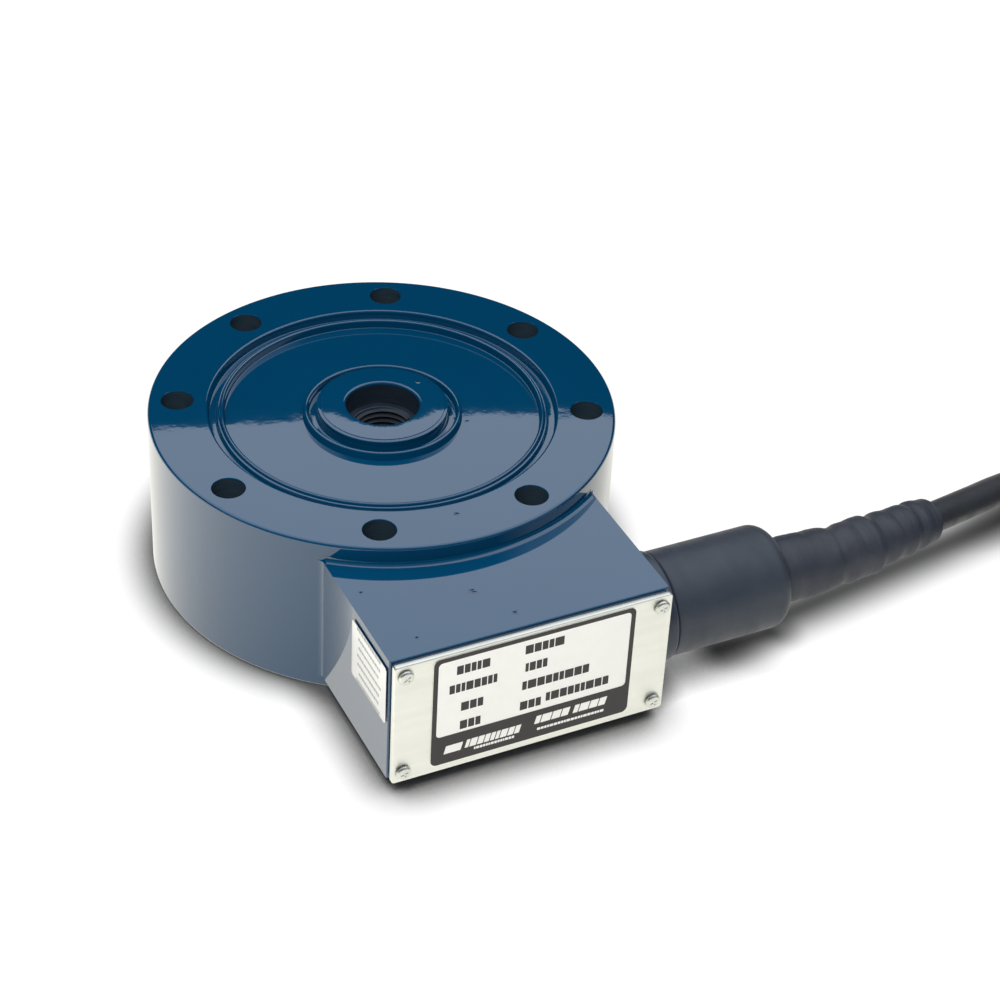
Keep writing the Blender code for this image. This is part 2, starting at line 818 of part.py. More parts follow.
def cable_boot():
    outer = boot_diameter / 2
    bore = spigot_diameter / 2 + seat_gap
    exit_hole = relief_sleeves[0][1] / 2 + seat_gap
    profile = [
        (exit_hole, boot_end),
        (outer, boot_end, boot_end_radius, 4),
        (outer, boot_start, boot_edge, 1),
        (bore, boot_start),
        (bore, boot_end - boot_end_wall),
        (exit_hole, boot_end - boot_end_wall),
    ]
    boot = turned("cable_boot", profile, boot_steps, black_rubber())
    boot.matrix_world = along_x(0.0, gland_y, gland_z)
    return boot


def smooth_route(points, spacing):
    """Evenly spaced points on a smooth curve through the given ones."""
    ends = [2 * points[0] - points[1], *points, 2 * points[-1] - points[-2]]
    dense = []
    steps = 30
    for a, b, c, d in zip(ends, ends[1:], ends[2:], ends[3:]):
        for i in range(steps):
            t = i / steps
            dense.append(
                0.5 * (2 * b + (c - a) * t + (2 * a - 5 * b + 4 * c - d) * t**2
                       + (3 * b - a - 3 * c + d) * t**3)
            )
    dense.append(points[-1])
    lengths = [0.0]
    for a, b in zip(dense, dense[1:]):
        lengths.append(lengths[-1] + (b - a).length)
    count = max(2, round(lengths[-1] / spacing))
    even = []
    k = 0
    for i in range(count + 1):
        target = lengths[-1] * i / count
        while k < len(lengths) - 2 and lengths[k + 1] < target:
            k += 1
        share = (target - lengths[k]) / (lengths[k + 1] - lengths[k])
        even.append(dense[k].lerp(dense[k + 1], share))
    return even


def cable_line():
    """The cable's centre line from inside the box to where it meets the coil."""
    route = cable_places()
    first = route[0].x - cable_start
    straight = [Vector((cable_start + first * i / 4, gland_y, gland_z)) for i in range(4)]
    return smooth_route([*straight, *route], cable_point_spacing)


def cable_places():
    """The points that the cable passes beyond the boot, in the model's frame."""
    drop = gland_z - cable_rest_z
    return [
        Vector((boot_end + past, gland_y + aside, cable_rest_z + share * drop))
        for past, aside, share in cable_route
    ]


def bent_along(obj, line):
    """Lay a straight sleeve, made along Z from the line's start, onto the cable's line."""
    steps = [0.0]
    for a, b in zip(line, line[1:]):
        steps.append(steps[-1] + (b - a).length)
    up = Vector((0, 0, 1))
    tangents = [(b - a).normalized() for a, b in zip([line[0], *line], [*line[1:], line[-1]])]
    for vertex in obj.data.vertices:
        travel = vertex.co.z
        k = max(i for i, step in enumerate(steps[:-1]) if step <= travel or i == 0)
        share = (travel - steps[k]) / (steps[k + 1] - steps[k])
        centre = line[k].lerp(line[k + 1], share)
        ahead = tangents[k].lerp(tangents[k + 1], share).normalized()
        side = ahead.cross(up).normalized()
        above = side.cross(ahead)
        vertex.co = centre + above * vertex.co.x + side * vertex.co.y
    obj.data.update()


def bend_relief(line):
    """A sleeve that steps down along the cable, held in the boot by its flange."""
    start = relief_start - cable_start
    bore = cable_bore / 2
    flange = spigot_diameter / 2
    flange_end = start + relief_flange_length
    outer = [(flange, start), (flange, flange_end)]
    inner = [(bore, start)]
    begin = flange_end
    for length, wide, narrow in relief_sleeves:
        middle = begin + length / 2
        end = begin + length
        outer += [(wide / 2, begin), ((wide + narrow) / 4, middle)]
        outer += [(narrow / 2, end - relief_edge), (narrow / 2 - relief_edge, end)]
        inner += [(bore, begin), (bore, middle)]
        begin = end
    inner.append((bore, begin))
    corners = list(reversed(outer)) + inner
    relief = turned("bend_relief", corners, relief_steps, black_rubber())
    bent_along(relief, line)
    return relief


def coil_place():
    """Centre, and inner and outer radius, of the coil that the cable's line runs up to."""
    before, end = cable_places()[-2:]
    ahead = end - before
    ahead.z = 0.0
    ahead.normalize()
    width = coil_turns_across * cable_diameter
    inner = (coil_mid_diameter - width) / 2
    outer = (coil_mid_diameter + width) / 2
    right = Vector((ahead.y, -ahead.x, 0.0))
    centre = end + right * (outer + cable_diameter / 2 + seat_gap)
    centre.z = 0.0
    return centre, inner, outer


def cable():
    line = cable_line()
    tube("signal_cable", [tuple(p) for p in line], cable_diameter, cable_sheath())
    bend_relief(line)
    centre, inner, outer = coil_place()
    height = coil_turns_high * cable_diameter
    corner = cable_diameter * coil_corner_share
    section = [
        (inner, height, corner, 1),
        (outer, height, corner, 1),
        (outer, 0.0, corner / 2, 1),
        (inner, 0.0, corner / 2, 1),
    ]
    coil = turned("cable_coil", section, coil_steps, cable_sheath())
    coil.location = centre
    cable_tail(centre, height + cable_rest_z)


def cable_tail(centre, level):
    """The far end, lying on the coil: the sheath's last arc and its stripped cores."""
    reach = coil_mid_diameter / 2
    steps = 8
    angles = [tail_start + (tail_end - tail_start) * i / steps for i in range(steps + 1)]
    points = [
        centre + Vector((reach * cos(angle), reach * sin(angle), level))
        for angle in angles
    ]
    tube("cable_tail", [tuple(p) for p in points], cable_diameter, cable_sheath())
    heading = tail_end - pi / 2
    ahead = Vector((cos(heading), sin(heading), 0.0))
    left = Vector((-ahead.y, ahead.x, 0.0))
    drop = cable_rest_z - core_diameter / 2 - lay_gap
    for i, (name, colour) in enumerate(core_colours.items()):
        across = i - (len(core_colours) - 1) / 2
        turn = core_turn - core_fan * across
        spot = points[-1] + ahead * 2 * seat_gap + left * core_pitch * across
        places = [tuple(spot)]
        for k in range(steps):
            angle = heading - turn * k / steps
            spot = spot + Vector((cos(angle), sin(angle), 0.0)) * core_length / steps
            share = (k + 1) / steps
            height = level - drop * share * share * (3 - 2 * share)
            places.append((spot.x, spot.y, height))
        insulation = finish(f"core_{name}", colour, 0.45)
        tube(f"core_end_{name}", places, core_diameter, insulation, 1)


def core_wires():
    """The cable's cores from its inner end down to the terminal strip."""
    strip_x = board_centre[0] + strip_offset[0]
    strip_y = board_centre[1] + strip_offset[1]
    landing = board_top + strip_size[2] + 2 * seat_gap
    strip_edge = strip_x + strip_size[0] / 2 - core_diameter
    for i, (name, colour) in enumerate(core_colours.items()):
        across = i - (len(core_colours) - 1) / 2
        start = Vector((cable_start - seat_gap, gland_y + core_pitch * across, gland_z))
        end = Vector((strip_edge, strip_y + 1.2 * core_pitch * across, landing))
        middle = (start + end) / 2
        middle.z = max(start.z, end.z + core_diameter) + core_diameter
        above = end + Vector((core_diameter / 3, 0.0, core_diameter))
        insulation = finish(f"core_{name}", colour, 0.45)
        rise = start.lerp(middle, 0.5) + Vector((0, 0, core_diameter / 3))
        points = [start, rise, middle, above, end]
        tube(f"core_wire_{name}", [tuple(p) for p in points], core_diameter, insulation, 1)


def main():
    clear_scene()
    load_cell_body()
    diaphragms()
    gauges()
    terminal_box()
    front_cover()
    cover_screws()
    labels()
    compensation_board()
    gland()
    cable_boot()
    cable()
    core_wires()


main()
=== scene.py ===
"""Looks of a low-profile load cell with a terminal box and cable.

Metres throughout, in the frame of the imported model: +Z is the load axis and z = 0 the floor.
The terminal box stands towards -Y and the cable leaves it towards +X.
"""

from math import atan2, cos, pi, radians, sin, sqrt, tan

import bmesh
import bpy
from mathutils import Matrix, Vector


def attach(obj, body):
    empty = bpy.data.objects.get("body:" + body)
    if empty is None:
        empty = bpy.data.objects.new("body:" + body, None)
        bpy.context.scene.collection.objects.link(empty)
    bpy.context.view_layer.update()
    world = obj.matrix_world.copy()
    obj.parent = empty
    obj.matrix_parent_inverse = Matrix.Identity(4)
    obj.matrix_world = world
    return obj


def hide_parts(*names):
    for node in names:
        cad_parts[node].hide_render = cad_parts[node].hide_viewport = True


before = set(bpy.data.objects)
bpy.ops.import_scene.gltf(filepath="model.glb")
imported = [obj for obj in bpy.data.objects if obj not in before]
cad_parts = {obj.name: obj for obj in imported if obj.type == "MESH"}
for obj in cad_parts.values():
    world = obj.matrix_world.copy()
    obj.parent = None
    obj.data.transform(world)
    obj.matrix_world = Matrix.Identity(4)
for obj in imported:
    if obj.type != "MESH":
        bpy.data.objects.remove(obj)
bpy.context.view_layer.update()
scene = bpy.context.scene

# Turned body
body_radius = 0.065
body_height = 0.0486
bolt_circle_radius = 0.0569
bolt_count = 8
bolt_radius = 0.0045
bolt_turn = radians(-1.7)
groove_outer = 0.0488
ridge_inner = 0.0452
plate_top = 0.0450
face_top = 0.0456
groove_floor = 0.0459
ridge_top = 0.0474
hub_groove = 0.0454
web_top = 0.038
web_bottom = 0.010
cover_seat = 0.0026
base_hollow = 0.0033
plate_seat = 0.0439
cavity_radius = 0.042
hub_core = 0.0255
hub_radius = 0.0218
hub_ledge = 0.0476
hub_foot = 0.0222
land_radius = 0.0184
land_top = 0.0493
bore_radius = 0.0102
bore_floor = 0.0423
thread_radius = 0.0082
thread_floor = 0.0213
turned_steps = 288

# Terminal box and what is on it
box_half = 0.0394
box_bottom = 0.0040
box_top = 0.0431
box_front = -0.0958
box_middle = (box_bottom + box_top) / 2
box_wall = 0.003
cover_back = -0.0968
cover_face = -0.0984
screw_hole = 0.00145
screw_spots = [(x, z) for x in (-0.0361, 0.0361) for z in (0.0076, 0.0395)]

# Specks of dirt on the enamel, each a place and a radius
fleck_spots = (
    (-0.0085, -0.0784, 0.0431, 0.0011), (-0.0022, -0.0901, 0.0431, 0.0008),
    (-0.0293, -0.0897, 0.0431, 0.0006), (-0.0353, -0.0679, 0.0431, 0.0006),
    (-0.0017, -0.0533, 0.0486, 0.0009), (0.0134, 0.0059, 0.0493, 0.0006),
    (0.0205, -0.0119, 0.0456, 0.0006),
)

# Gland, boot and bend relief on the cable's axis
gland_y = -0.0801
gland_z = 0.02355
collar_start = 0.0397
collar_end = 0.0449
spigot_end = 0.0689
boot_start = 0.0452
boot_end = 0.0812
relief_start = 0.0692
boot_radius = 0.0145
collar_radius = 0.0152
spigot_radius = 0.011
gland_bore = 0.008

# Cable: distance past the boot, distance aside, share of the gland's height that is left
cable_diameter = 0.009
cable_rest = 0.0046
cable_start = 0.0239
cable_route = (
    (0.0218, 0.0000, 1.000),
    (0.0398, 0.0024, 0.985),
    (0.0554, 0.0065, 0.875),
    (0.0757, 0.0134, 0.665),
    (0.0880, 0.0182, 0.511),
    (0.0988, 0.0222, 0.351),
    (0.1088, 0.0257, 0.200),
    (0.1178, 0.0285, 0.085),
    (0.1258, 0.0308, 0.020),
    (0.1338, 0.0329, 0.000),
)
coil_mid_radius = 0.045
coil_turns = 9
tail_end = 165


# Camera, floor and light


def toward(azimuth, elevation):
    """A unit vector, from degrees to the right of the front and degrees above the floor."""
    azimuth, elevation = radians(azimuth), radians(elevation)
    return Vector((
        sin(azimuth) * cos(elevation), -cos(azimuth) * cos(elevation), sin(elevation)
    ))


def photo_camera():
    """Camera at the photograph's angle, found from the rim, the bolt holes and the box corners."""
    back = toward(-27.438, 36.783)
    roll = radians(3.261)
    level = (-back).cross(Vector((0, 0, 1))).normalized()
    upright = level.cross(-back)
    across = level * cos(roll) + upright * sin(roll)
    above = upright * cos(roll) - level * sin(roll)
    place = Matrix((across, above, back)).transposed().to_4x4()
    place.translation = (
        back * 0.710085 + across * 0.032662 - above * 0.026376 + Vector((0, 0, body_height))
    )
    lens = bpy.data.cameras.new("photo_camera")
    lens.sensor_width = 36.0
    lens.lens = 91.87
    lens.clip_start = 0.01
    camera = bpy.data.objects.new("photo_camera", lens)
    camera.matrix_world = place
    scene.collection.objects.link(camera)
    scene.camera = camera


def add(tree, kind, values=None, **settings):
    """A new node with its settings. Each value sets a socket, or is an output linked to it."""
    made = tree.nodes.new(kind)
    for key, value in settings.items():
        setattr(made, key, value)
    for socket, value in (values or {}).items():
        if isinstance(value, bpy.types.NodeSocket):
            tree.links.new(value, made.inputs[socket])
        else:
            made.inputs[socket].default_value = value
    return made


def maths(tree, operation, first, second, **settings):
    """The result of one sum on two values or outputs."""
    made = add(tree, "ShaderNodeMath", {0: first, 1: second}, operation=operation, **settings)
    return made.outputs[0]


def vector_maths(tree, operation, first, second, result="Value"):
    """The result of one sum on two vectors or outputs."""
    made = add(tree, "ShaderNodeVectorMath", {0: first, 1: second}, operation=operation)
    return made.outputs[result]


def ranged(tree, value, low, high, new_low, new_high, **settings):
    """A value carried from one range to another and held inside it."""
    return add(tree, "ShaderNodeMapRange", {
        "Value": value, "From Min": low, "From Max": high, "To Min": new_low, "To Max": new_high,
    }, **settings).outputs["Result"]


def blend(tree, share, first, second):
    """A shader between two others."""
    return add(tree, "ShaderNodeMixShader", {0: share, 1: first, 2: second}).outputs[0]


def tones(tree, share, first, second):
    """A colour between two others."""
    return add(tree, "ShaderNodeMix", {"Factor": share, "A": first, "B": second},
               data_type="RGBA").outputs["Result"]


def studio_world():
    """A pale softbox over the object, whose straight lower edge shows in the enamel."""
    world = bpy.data.worlds.new("studio")
    world.use_nodes = True
    scene.world = world
    tree = world.node_tree
    tree.nodes.clear()
    ray_path = add(tree, "ShaderNodeTexCoord").outputs["Generated"]
    height = vector_maths(tree, "DOT_PRODUCT", ray_path, (0.0414, -0.0215, 1.0))
    band = ranged(tree, height, 0.5708, 0.5718, 0.0, 1.0)
    away = vector_maths(tree, "DOT_PRODUCT", ray_path, (0.461, 0.887, 0.0))
    panel = maths(tree, "MULTIPLY", band, ranged(tree, away, -0.35, -0.10, 0.10, 1.0))
    dome = tones(tree, panel, (0.004, 0.010, 0.013, 1), (1.13, 1.20, 1.30, 1))
    fill = tones(tree, band, (0.02, 0.02, 0.02, 1), (1.16, 1.18, 1.20, 1))
    mirrored, soft, backdrop = (
        add(tree, "ShaderNodeBackground", {"Color": colour, "Strength": strength}).outputs[0]
        for colour, strength in ((dome, 1.0), (fill, 0.66), ((1, 1, 1, 1), 1.0))
    )
    ray = add(tree, "ShaderNodeLightPath")
    light = blend(tree, ray.outputs["Is Glossy Ray"], soft, mirrored)
    seen = blend(tree, ray.outputs["Is Camera Ray"], light, backdrop)
    add(tree, "ShaderNodeOutputWorld", {"Surface": seen})


def soft_lamp(azimuth, elevation, size, power):
    """A round lamp a little left of the camera. Its own image stays out of the enamel."""
    light = bpy.data.lights.new("soft_lamp", "AREA")
    light.shape = "DISK"
    light.size = size
    light.energy = power
    light.color = (1.0, 0.99, 0.97)
    holder = bpy.data.objects.new("soft_lamp", light)
    back = toward(azimuth, elevation)
    holder.location = Vector((0.02, -0.03, 0.02)) + back * 1.2
    holder.rotation_euler = back.to_track_quat("Z", "Y").to_euler()
    holder.visible_glossy = False
    scene.collection.objects.link(holder)


def painted_shade_line(tree, start, end, reach):
    """Soft shade along a line on the floor, fading to nothing at the given reach."""
    first = Vector((*start, 0.0))
    along = Vector((*end, 0.0)) - first
    heading = along.normalized()
    place = add(tree, "ShaderNodeTexCoord").outputs["Object"]
    offset = vector_maths(tree, "SUBTRACT", place, first, "Vector")
    run = vector_maths(tree, "DOT_PRODUCT", offset, heading)
    kept = ranged(tree, run, 0.0, along.length, 0.0, along.length)
    nearest = add(tree, "ShaderNodeVectorMath", {0: heading, "Scale": kept}, operation="SCALE")
    gap = vector_maths(tree, "DISTANCE", offset, nearest.outputs["Vector"])
    return ranged(tree, gap, 0.0, reach, 0.05, 1.0, interpolation_type="SMOOTHSTEP")


def studio_floor():
    """Pale paper that glows for the camera, with painted shadow close to the object and painted
    shade lines behind its boot and cable. In reflections it glows brighter and warmer towards -X,
    which is painted light for the enamel to mirror.
    """
    mesh = bpy.data.meshes.new("studio_floor")
    reach = 3.0
    corners = [(-reach, -reach, 0), (reach, -reach, 0), (reach, reach, 0), (-reach, reach, 0)]
    mesh.from_pydata(corners, [], [(0, 1, 2, 3)])
    floor = bpy.data.objects.new("studio_floor", mesh)
    scene.collection.objects.link(floor)
    material = bpy.data.materials.new("pale_floor")
    material.use_nodes = True
    tree = material.node_tree
    tree.nodes.clear()
    paper = add(tree, "ShaderNodeBsdfDiffuse", {"Color": (0.95, 0.95, 0.94, 1)}).outputs[0]
    # Painted shadow: the glow for the camera fades to nothing where ambient occlusion finds the
    # object within 13 mm.
    near = add(tree, "ShaderNodeAmbientOcclusion", {"Distance": 0.013}, samples=12)
    strength = ranged(tree, near.outputs["AO"], 0.50, 0.97, 0.0, 1.08)
    # Painted shade lines on the floor just behind the boot and the cable, multiplied into the same
    # glow.
    for start, end, width in (
        ((0.068, -0.0793), (0.085, -0.0783), 0.012), ((0.092, -0.0735), (0.180, -0.0588), 0.016)
    ):
        strength = maths(tree, "MULTIPLY", strength, painted_shade_line(tree, start, end, width))
    shown = add(tree, "ShaderNodeEmission", {"Color": (1, 1, 1, 1), "Strength": strength})
    # Painted light: reflected rays see the floor glow warm, up to nearly twice as bright towards
    # -X.
    place = add(tree, "ShaderNodeTexCoord").outputs["Object"]
    axes = add(tree, "ShaderNodeSeparateXYZ", {0: place})
    mirrored = add(tree, "ShaderNodeEmission", {
        "Color": (1.0, 0.975, 0.87, 1),
        "Strength": ranged(tree, axes.outputs["X"], -0.035, -0.13, 0.95, 1.85),
    })
    ray = add(tree, "ShaderNodeLightPath")
    sheen = blend(tree, 0.5, paper, mirrored.outputs[0])
    lit = blend(tree, ray.outputs["Is Glossy Ray"], paper, sheen)
    white = blend(tree, 0.88, paper, shown.outputs[0])
    total = blend(tree, ray.outputs["Is Camera Ray"], lit, white)
    add(tree, "ShaderNodeOutputMaterial", {"Surface": total})
    mesh.materials.append(material)


# Finishes


def finish(name, colour, roughness, metallic=0.0, **sockets):
    """A Principled material whose plain values sit on the shader's own sockets."""
    material = bpy.data.materials.new(name)
    material.use_nodes = True
    shader = material.node_tree.nodes["Principled BSDF"]
    shader.inputs["Base Color"].default_value = (*colour, 1.0)
    shader.inputs["Roughness"].default_value = roughness
    shader.inputs["Metallic"].default_value = metallic
    for socket, value in sockets.items():
        shader.inputs[socket.replace("_", " ")].default_value = value
    return material, material.node_tree, shader


def grain(tree, scale, detail=3.0, stretch=(1, 1, 1), roughness=0.5):
    """Noise on the object's own coordinates, in features per metre."""
    place = add(tree, "ShaderNodeTexCoord").outputs["Object"]
    mapping = add(tree, "ShaderNodeMapping", {"Vector": place, "Scale": stretch})
    return add(tree, "ShaderNodeTexNoise", {
        "Vector": mapping.outputs["Vector"], "Scale": scale, "Detail": detail,
        "Roughness": roughness,
    }).outputs["Fac"]


def spread(tree, source, low, high):
    """A value remapped from the middle of a noise to the given range."""
    return ranged(tree, source, 0.3, 0.7, low, high)


def tint(tree, shader, factor, first, second):
    """Base colour between two tones."""
    if isinstance(first, tuple):
        first = (*first, 1)
    mixed = tones(tree, factor, first, (*second, 1))
    tree.links.new(mixed, shader.inputs["Base Color"])
    return mixed


def bumps(tree, shader, layers, coat=False):
    """Stack of bump heights, each a source and its depth in metres."""
    normal = None
    for source, depth in layers:
        values = {"Height": source, "Strength": 1.0, "Distance": depth}
        if normal:
            values["Normal"] = normal
        normal = add(tree, "ShaderNodeBump", values).outputs["Normal"]
    tree.links.new(normal, shader.inputs["Normal"])
    if coat:
        tree.links.new(normal, shader.inputs["Coat Normal"])


def specks(tree, density, size, share):
    """Mask of sparse dots: cells per metre, dot size, and the share of cells with one."""
    cells = add(tree, "ShaderNodeTexVoronoi", {
        "Vector": add(tree, "ShaderNodeTexCoord").outputs["Object"], "Scale": density,
        "Randomness": 1.0,
    })
    split = add(tree, "ShaderNodeSeparateColor", {"Color": cells.outputs["Color"]})
    near = maths(tree, "LESS_THAN", cells.outputs["Distance"], size * density)
    chosen = maths(tree, "LESS_THAN", split.outputs["Red"], share)
    return maths(tree, "MULTIPLY", near, chosen)


def flecks(tree, spots):
    """Mask of single specks of dirt, each a place and a radius, with ragged outlines."""
    place = add(tree, "ShaderNodeTexCoord").outputs["Object"]
    ragged = grain(tree, 1100, 2.0, (0.5, 1.3, 1.0))
    total = None
    for x, y, z, radius in spots:
        gap = vector_maths(tree, "DISTANCE", place, (x, y, z))
        limit = maths(tree, "MULTIPLY", ragged, 2 * radius)
        share = maths(tree, "DIVIDE", gap, limit)
        inside = maths(tree, "SUBTRACT", 1.0, share, use_clamp=True)
        total = maths(tree, "MAXIMUM", total, inside) if total else inside
    return total


def blue_enamel():
    """Glossy stoved enamel with faint orange peel and a few specks of dust under it."""
    material, tree, shader = finish(
        "blue_enamel", (0.0, 0.051, 0.131), 0.02,
        Coat_Weight=1.0, Coat_Roughness=0.01, Coat_IOR=1.5, IOR=1.5,
    )
    cloud = grain(tree, 22, 2.0)
    tone = tint(tree, shader, cloud, (0.0, 0.049, 0.124), (0.0, 0.056, 0.140))
    dots = specks(tree, 45, 0.00035, 0.10)
    tone = tint(tree, shader, dots, tone, (0.004, 0.018, 0.030))
    marks = flecks(tree, fleck_spots)
    tint(tree, shader, marks, tone, (0.006, 0.012, 0.018))
    peel = grain(tree, 110, 1.5)
    fine = grain(tree, 700, 2.0)
    layers = [(peel, 0.0000075), (fine, 0.0000010), (dots, 0.00001), (marks, 0.00007)]
    bumps(tree, shader, layers, coat=True)
    return material


def dark_steel(name, low, high, roughness, metallic):
    """Darkened turned steel with fine rings from the tool."""
    material, tree, shader = finish(name, high, roughness, metallic)
    rings = grain(tree, 160, 3.0, (1, 1, 14))
    tint(tree, shader, spread(tree, rings, 0.0, 1.0), low, high)
    bumps(tree, shader, [(rings, 0.00003)])
    return material


def plated_steel():
    """Bright plating, clouded a little by handling."""
    material, tree, shader = finish("plated_steel", (0.72, 0.72, 0.70), 0.22, 1.0)
    cloud = grain(tree, 700, 3.0)
    tree.links.new(spread(tree, cloud, 0.16, 0.30), shader.inputs["Roughness"])
    bumps(tree, shader, [(cloud, 0.000008)])
    return material


def satin_aluminium():
    """Thin sheet with a fine grain along its length and a slightly mottled sheen."""
    material, tree, shader = finish("satin_aluminium", (0.94, 0.95, 0.89), 0.42, 1.0)
    brushed = grain(tree, 900, 2.0, (0.04, 1.0, 1.0))
    cloud = grain(tree, 60, 3.0)
    tint(tree, shader, spread(tree, cloud, 0.0, 1.0), (0.92, 0.93, 0.87), (0.96, 0.97, 0.92))
    tree.links.new(spread(tree, brushed, 0.36, 0.50), shader.inputs["Roughness"])
    bumps(tree, shader, [(brushed, 0.000006)])
    return material


def label_film(name, colour, metallic=0.0):
    """Printed film with a faint leathery surface."""
    material, tree, shader = finish(
        name, colour, 0.36, metallic, Coat_Weight=0.2, Coat_Roughness=0.2
    )
    cloud = grain(tree, 300, 2.0)
    shade = tuple(0.97 * c for c in colour)
    tint(tree, shader, spread(tree, cloud, 0.0, 1.0), shade, colour)
    bumps(tree, shader, [(cloud, 0.000010)])
    return material


def matt_rubber(name, low, high, roughness, wrinkle):
    """Dark rubber with a soft skin and faint folds."""
    material, tree, shader = finish(name, low, roughness, IOR=1.5)
    cloud = grain(tree, 70, 4.0, roughness=0.6)
    tint(tree, shader, spread(tree, cloud, 0.0, 1.0), low, high)
    skin = grain(tree, 1400, 3.0)
    folds = grain(tree, 260, 3.0, (1.0, 0.35, 0.35))
    worn = spread(tree, folds, roughness - 0.07, roughness + 0.08)
    tree.links.new(worn, shader.inputs["Roughness"])
    bumps(tree, shader, [(folds, wrinkle), (skin, 0.00003)])
    return material


def small_part(name, low, high, roughness, metallic=0.0, scale=500):
    """A finish for the small pieces inside the box and the cavity."""
    material, tree, shader = finish(name, low, roughness, metallic)
    cloud = grain(tree, scale, 3.0)
    tint(tree, shader, spread(tree, cloud, 0.0, 1.0), low, high)
    bumps(tree, shader, [(cloud, 0.00001)])
    return material


# Shapes


def corner_arc(before, corner, after, radius, segments):
    """Points along the arc that rounds one corner of an outline."""
    corner = Vector(corner)
    back = (Vector(before) - corner).normalized()
    ahead = (Vector(after) - corner).normalized()
    half = back.angle(ahead) / 2
    centre = corner + (back + ahead).normalized() * radius / sin(half)
    start = corner + back * radius / tan(half) - centre
    turn = start.angle_signed(corner + ahead * radius / tan(half) - centre)
    first = atan2(start.y, start.x)
    angles = [first - turn * i / segments for i in range(segments + 1)]
    return [(centre.x + radius * cos(a), centre.y + radius * sin(a)) for a in angles]


def outline(corners, closed=True):
    """Points of an outline whose corners are (x, y), or (x, y, radius, arc segments)."""
    points = []
    last = len(corners) - 1
    for i, corner in enumerate(corners):
        if len(corner) == 2 or (not closed and i in (0, last)):
            points.append(corner[:2])
            continue
        before, after = corners[i - 1][:2], corners[(i + 1) % len(corners)][:2]
        points += corner_arc(before, corner[:2], after, corner[2], corner[3])
    return points


def along_x(x, y, z):
    """A place whose own Z runs along world X."""
    return Matrix.Translation((x, y, z)) @ Matrix.Rotation(pi / 2, 4, "Y")


def along_y(x, y, z):
    """A place whose own X and Y lie in the XZ plane and whose own Z runs along world -Y."""
    return Matrix.Translation((x, y, z)) @ Matrix.Rotation(pi / 2, 4, "X")


def clad(mesh, *materials):
    """Give a mesh these materials and no others."""
    mesh.materials.clear()
    for material in materials:
        mesh.materials.append(material)


def hold(name, mesh, material=None):
    """An object at the origin for a mesh that is already in place."""
    piece = bpy.data.objects.new(name, mesh)
    scene.collection.objects.link(piece)
    if material:
        clad(mesh, material)
    return piece


def smooth(mesh, angle=32):
    mesh.shade_smooth()
    mesh.set_sharp_from_angle(angle=radians(angle))


def turned_mesh(name, corners, steps, closed=True, place=None):
    """Mesh turned about Z from an outline of (radius, height) that runs down its outer side."""
    points = outline(corners, closed)
    shape = bmesh.new()
    rings = []
    for radius, height in points:
        if radius < 1e-7:
            rings.append([shape.verts.new((0.0, 0.0, height))])
            continue
        rings.append([
            shape.verts.new((
                radius * cos(2 * pi * i / steps), radius * sin(2 * pi * i / steps), height
            ))
            for i in range(steps)
        ])
    following = rings[1:] + (rings[:1] if closed else [])
    for upper, lower in zip(rings, following):
        for i in range(steps):
            j = (i + 1) % steps
            corner_points = [upper[i % len(upper)], lower[i % len(lower)]]
            if len(lower) > 1:
                corner_points.append(lower[j])
            if len(upper) > 1:
                corner_points.append(upper[j])
            if len(corner_points) > 2:
                shape.faces.new(corner_points)
    bmesh.ops.recalc_face_normals(shape, faces=shape.faces)
    if place:
        bmesh.ops.transform(shape, matrix=place, verts=shape.verts)
    mesh = bpy.data.meshes.new(name)
    shape.to_mesh(mesh)
    shape.free()
    return mesh


def turned(name, corners, steps, material, closed=True, place=None, angle=32):
    mesh = turned_mesh(name, corners, steps, closed, place)
    smooth(mesh, angle)
    return hold(name, mesh, material)


def evaluated(piece):
    """A new mesh of the piece with its modifiers or curve settings worked in."""
    bpy.context.view_layer.update()
    graph = bpy.context.evaluated_depsgraph_get()
    return bpy.data.meshes.new_from_object(piece.evaluated_get(graph))


def settled(piece, material=None, angle=32):
    """The piece as a plain welded mesh at the origin."""
    mesh = evaluated(piece)
    name, place = piece.name, piece.matrix_world.copy()
    bpy.data.objects.remove(piece, do_unlink=True)
    mesh.transform(place)
    mesh.name = name
    welded = bmesh.new()
    welded.from_mesh(mesh)
    bmesh.ops.remove_doubles(welded, verts=welded.verts, dist=0.000002)
    welded.to_mesh(mesh)
    welded.free()
    smooth(mesh, angle)
    return hold(name, mesh, material)


def sheet_part(name, loops, thickness, edge, place, material=None):
    """A plate from closed loops, with softly rounded edges. Inner loops are its holes."""
    curve = bpy.data.curves.new(name, "CURVE")
    curve.dimensions = "2D"
    curve.fill_mode = "BOTH"
    curve.extrude = thickness / 2 - edge
    curve.bevel_depth = edge
    curve.bevel_resolution = 2 if edge else 0
    curve.offset = -edge
    for loop in loops:
        spline = curve.splines.new("POLY")
        spline.points.add(len(loop) - 1)
        for point, (x, y) in zip(spline.points, loop):
            point.co = (x, y, 0.0, 1.0)
        spline.use_cyclic_u = True
    piece = bpy.data.objects.new(name, curve)
    piece.matrix_world = place
    scene.collection.objects.link(piece)
    return settled(piece, material)


def circle(radius, sides, centre=(0.0, 0.0)):
    angles = [2 * pi * i / sides for i in range(sides)]
    return [(centre[0] + radius * cos(a), centre[1] + radius * sin(a)) for a in angles]


def rounded_rectangle(width, height, radius, segments=6, centre=(0.0, 0.0)):
    x, y = width / 2, height / 2
    signs = ((-1, -1), (1, -1), (1, 1), (-1, 1))
    return outline([(centre[0] + i * x, centre[1] + j * y, radius, segments) for i, j in signs])


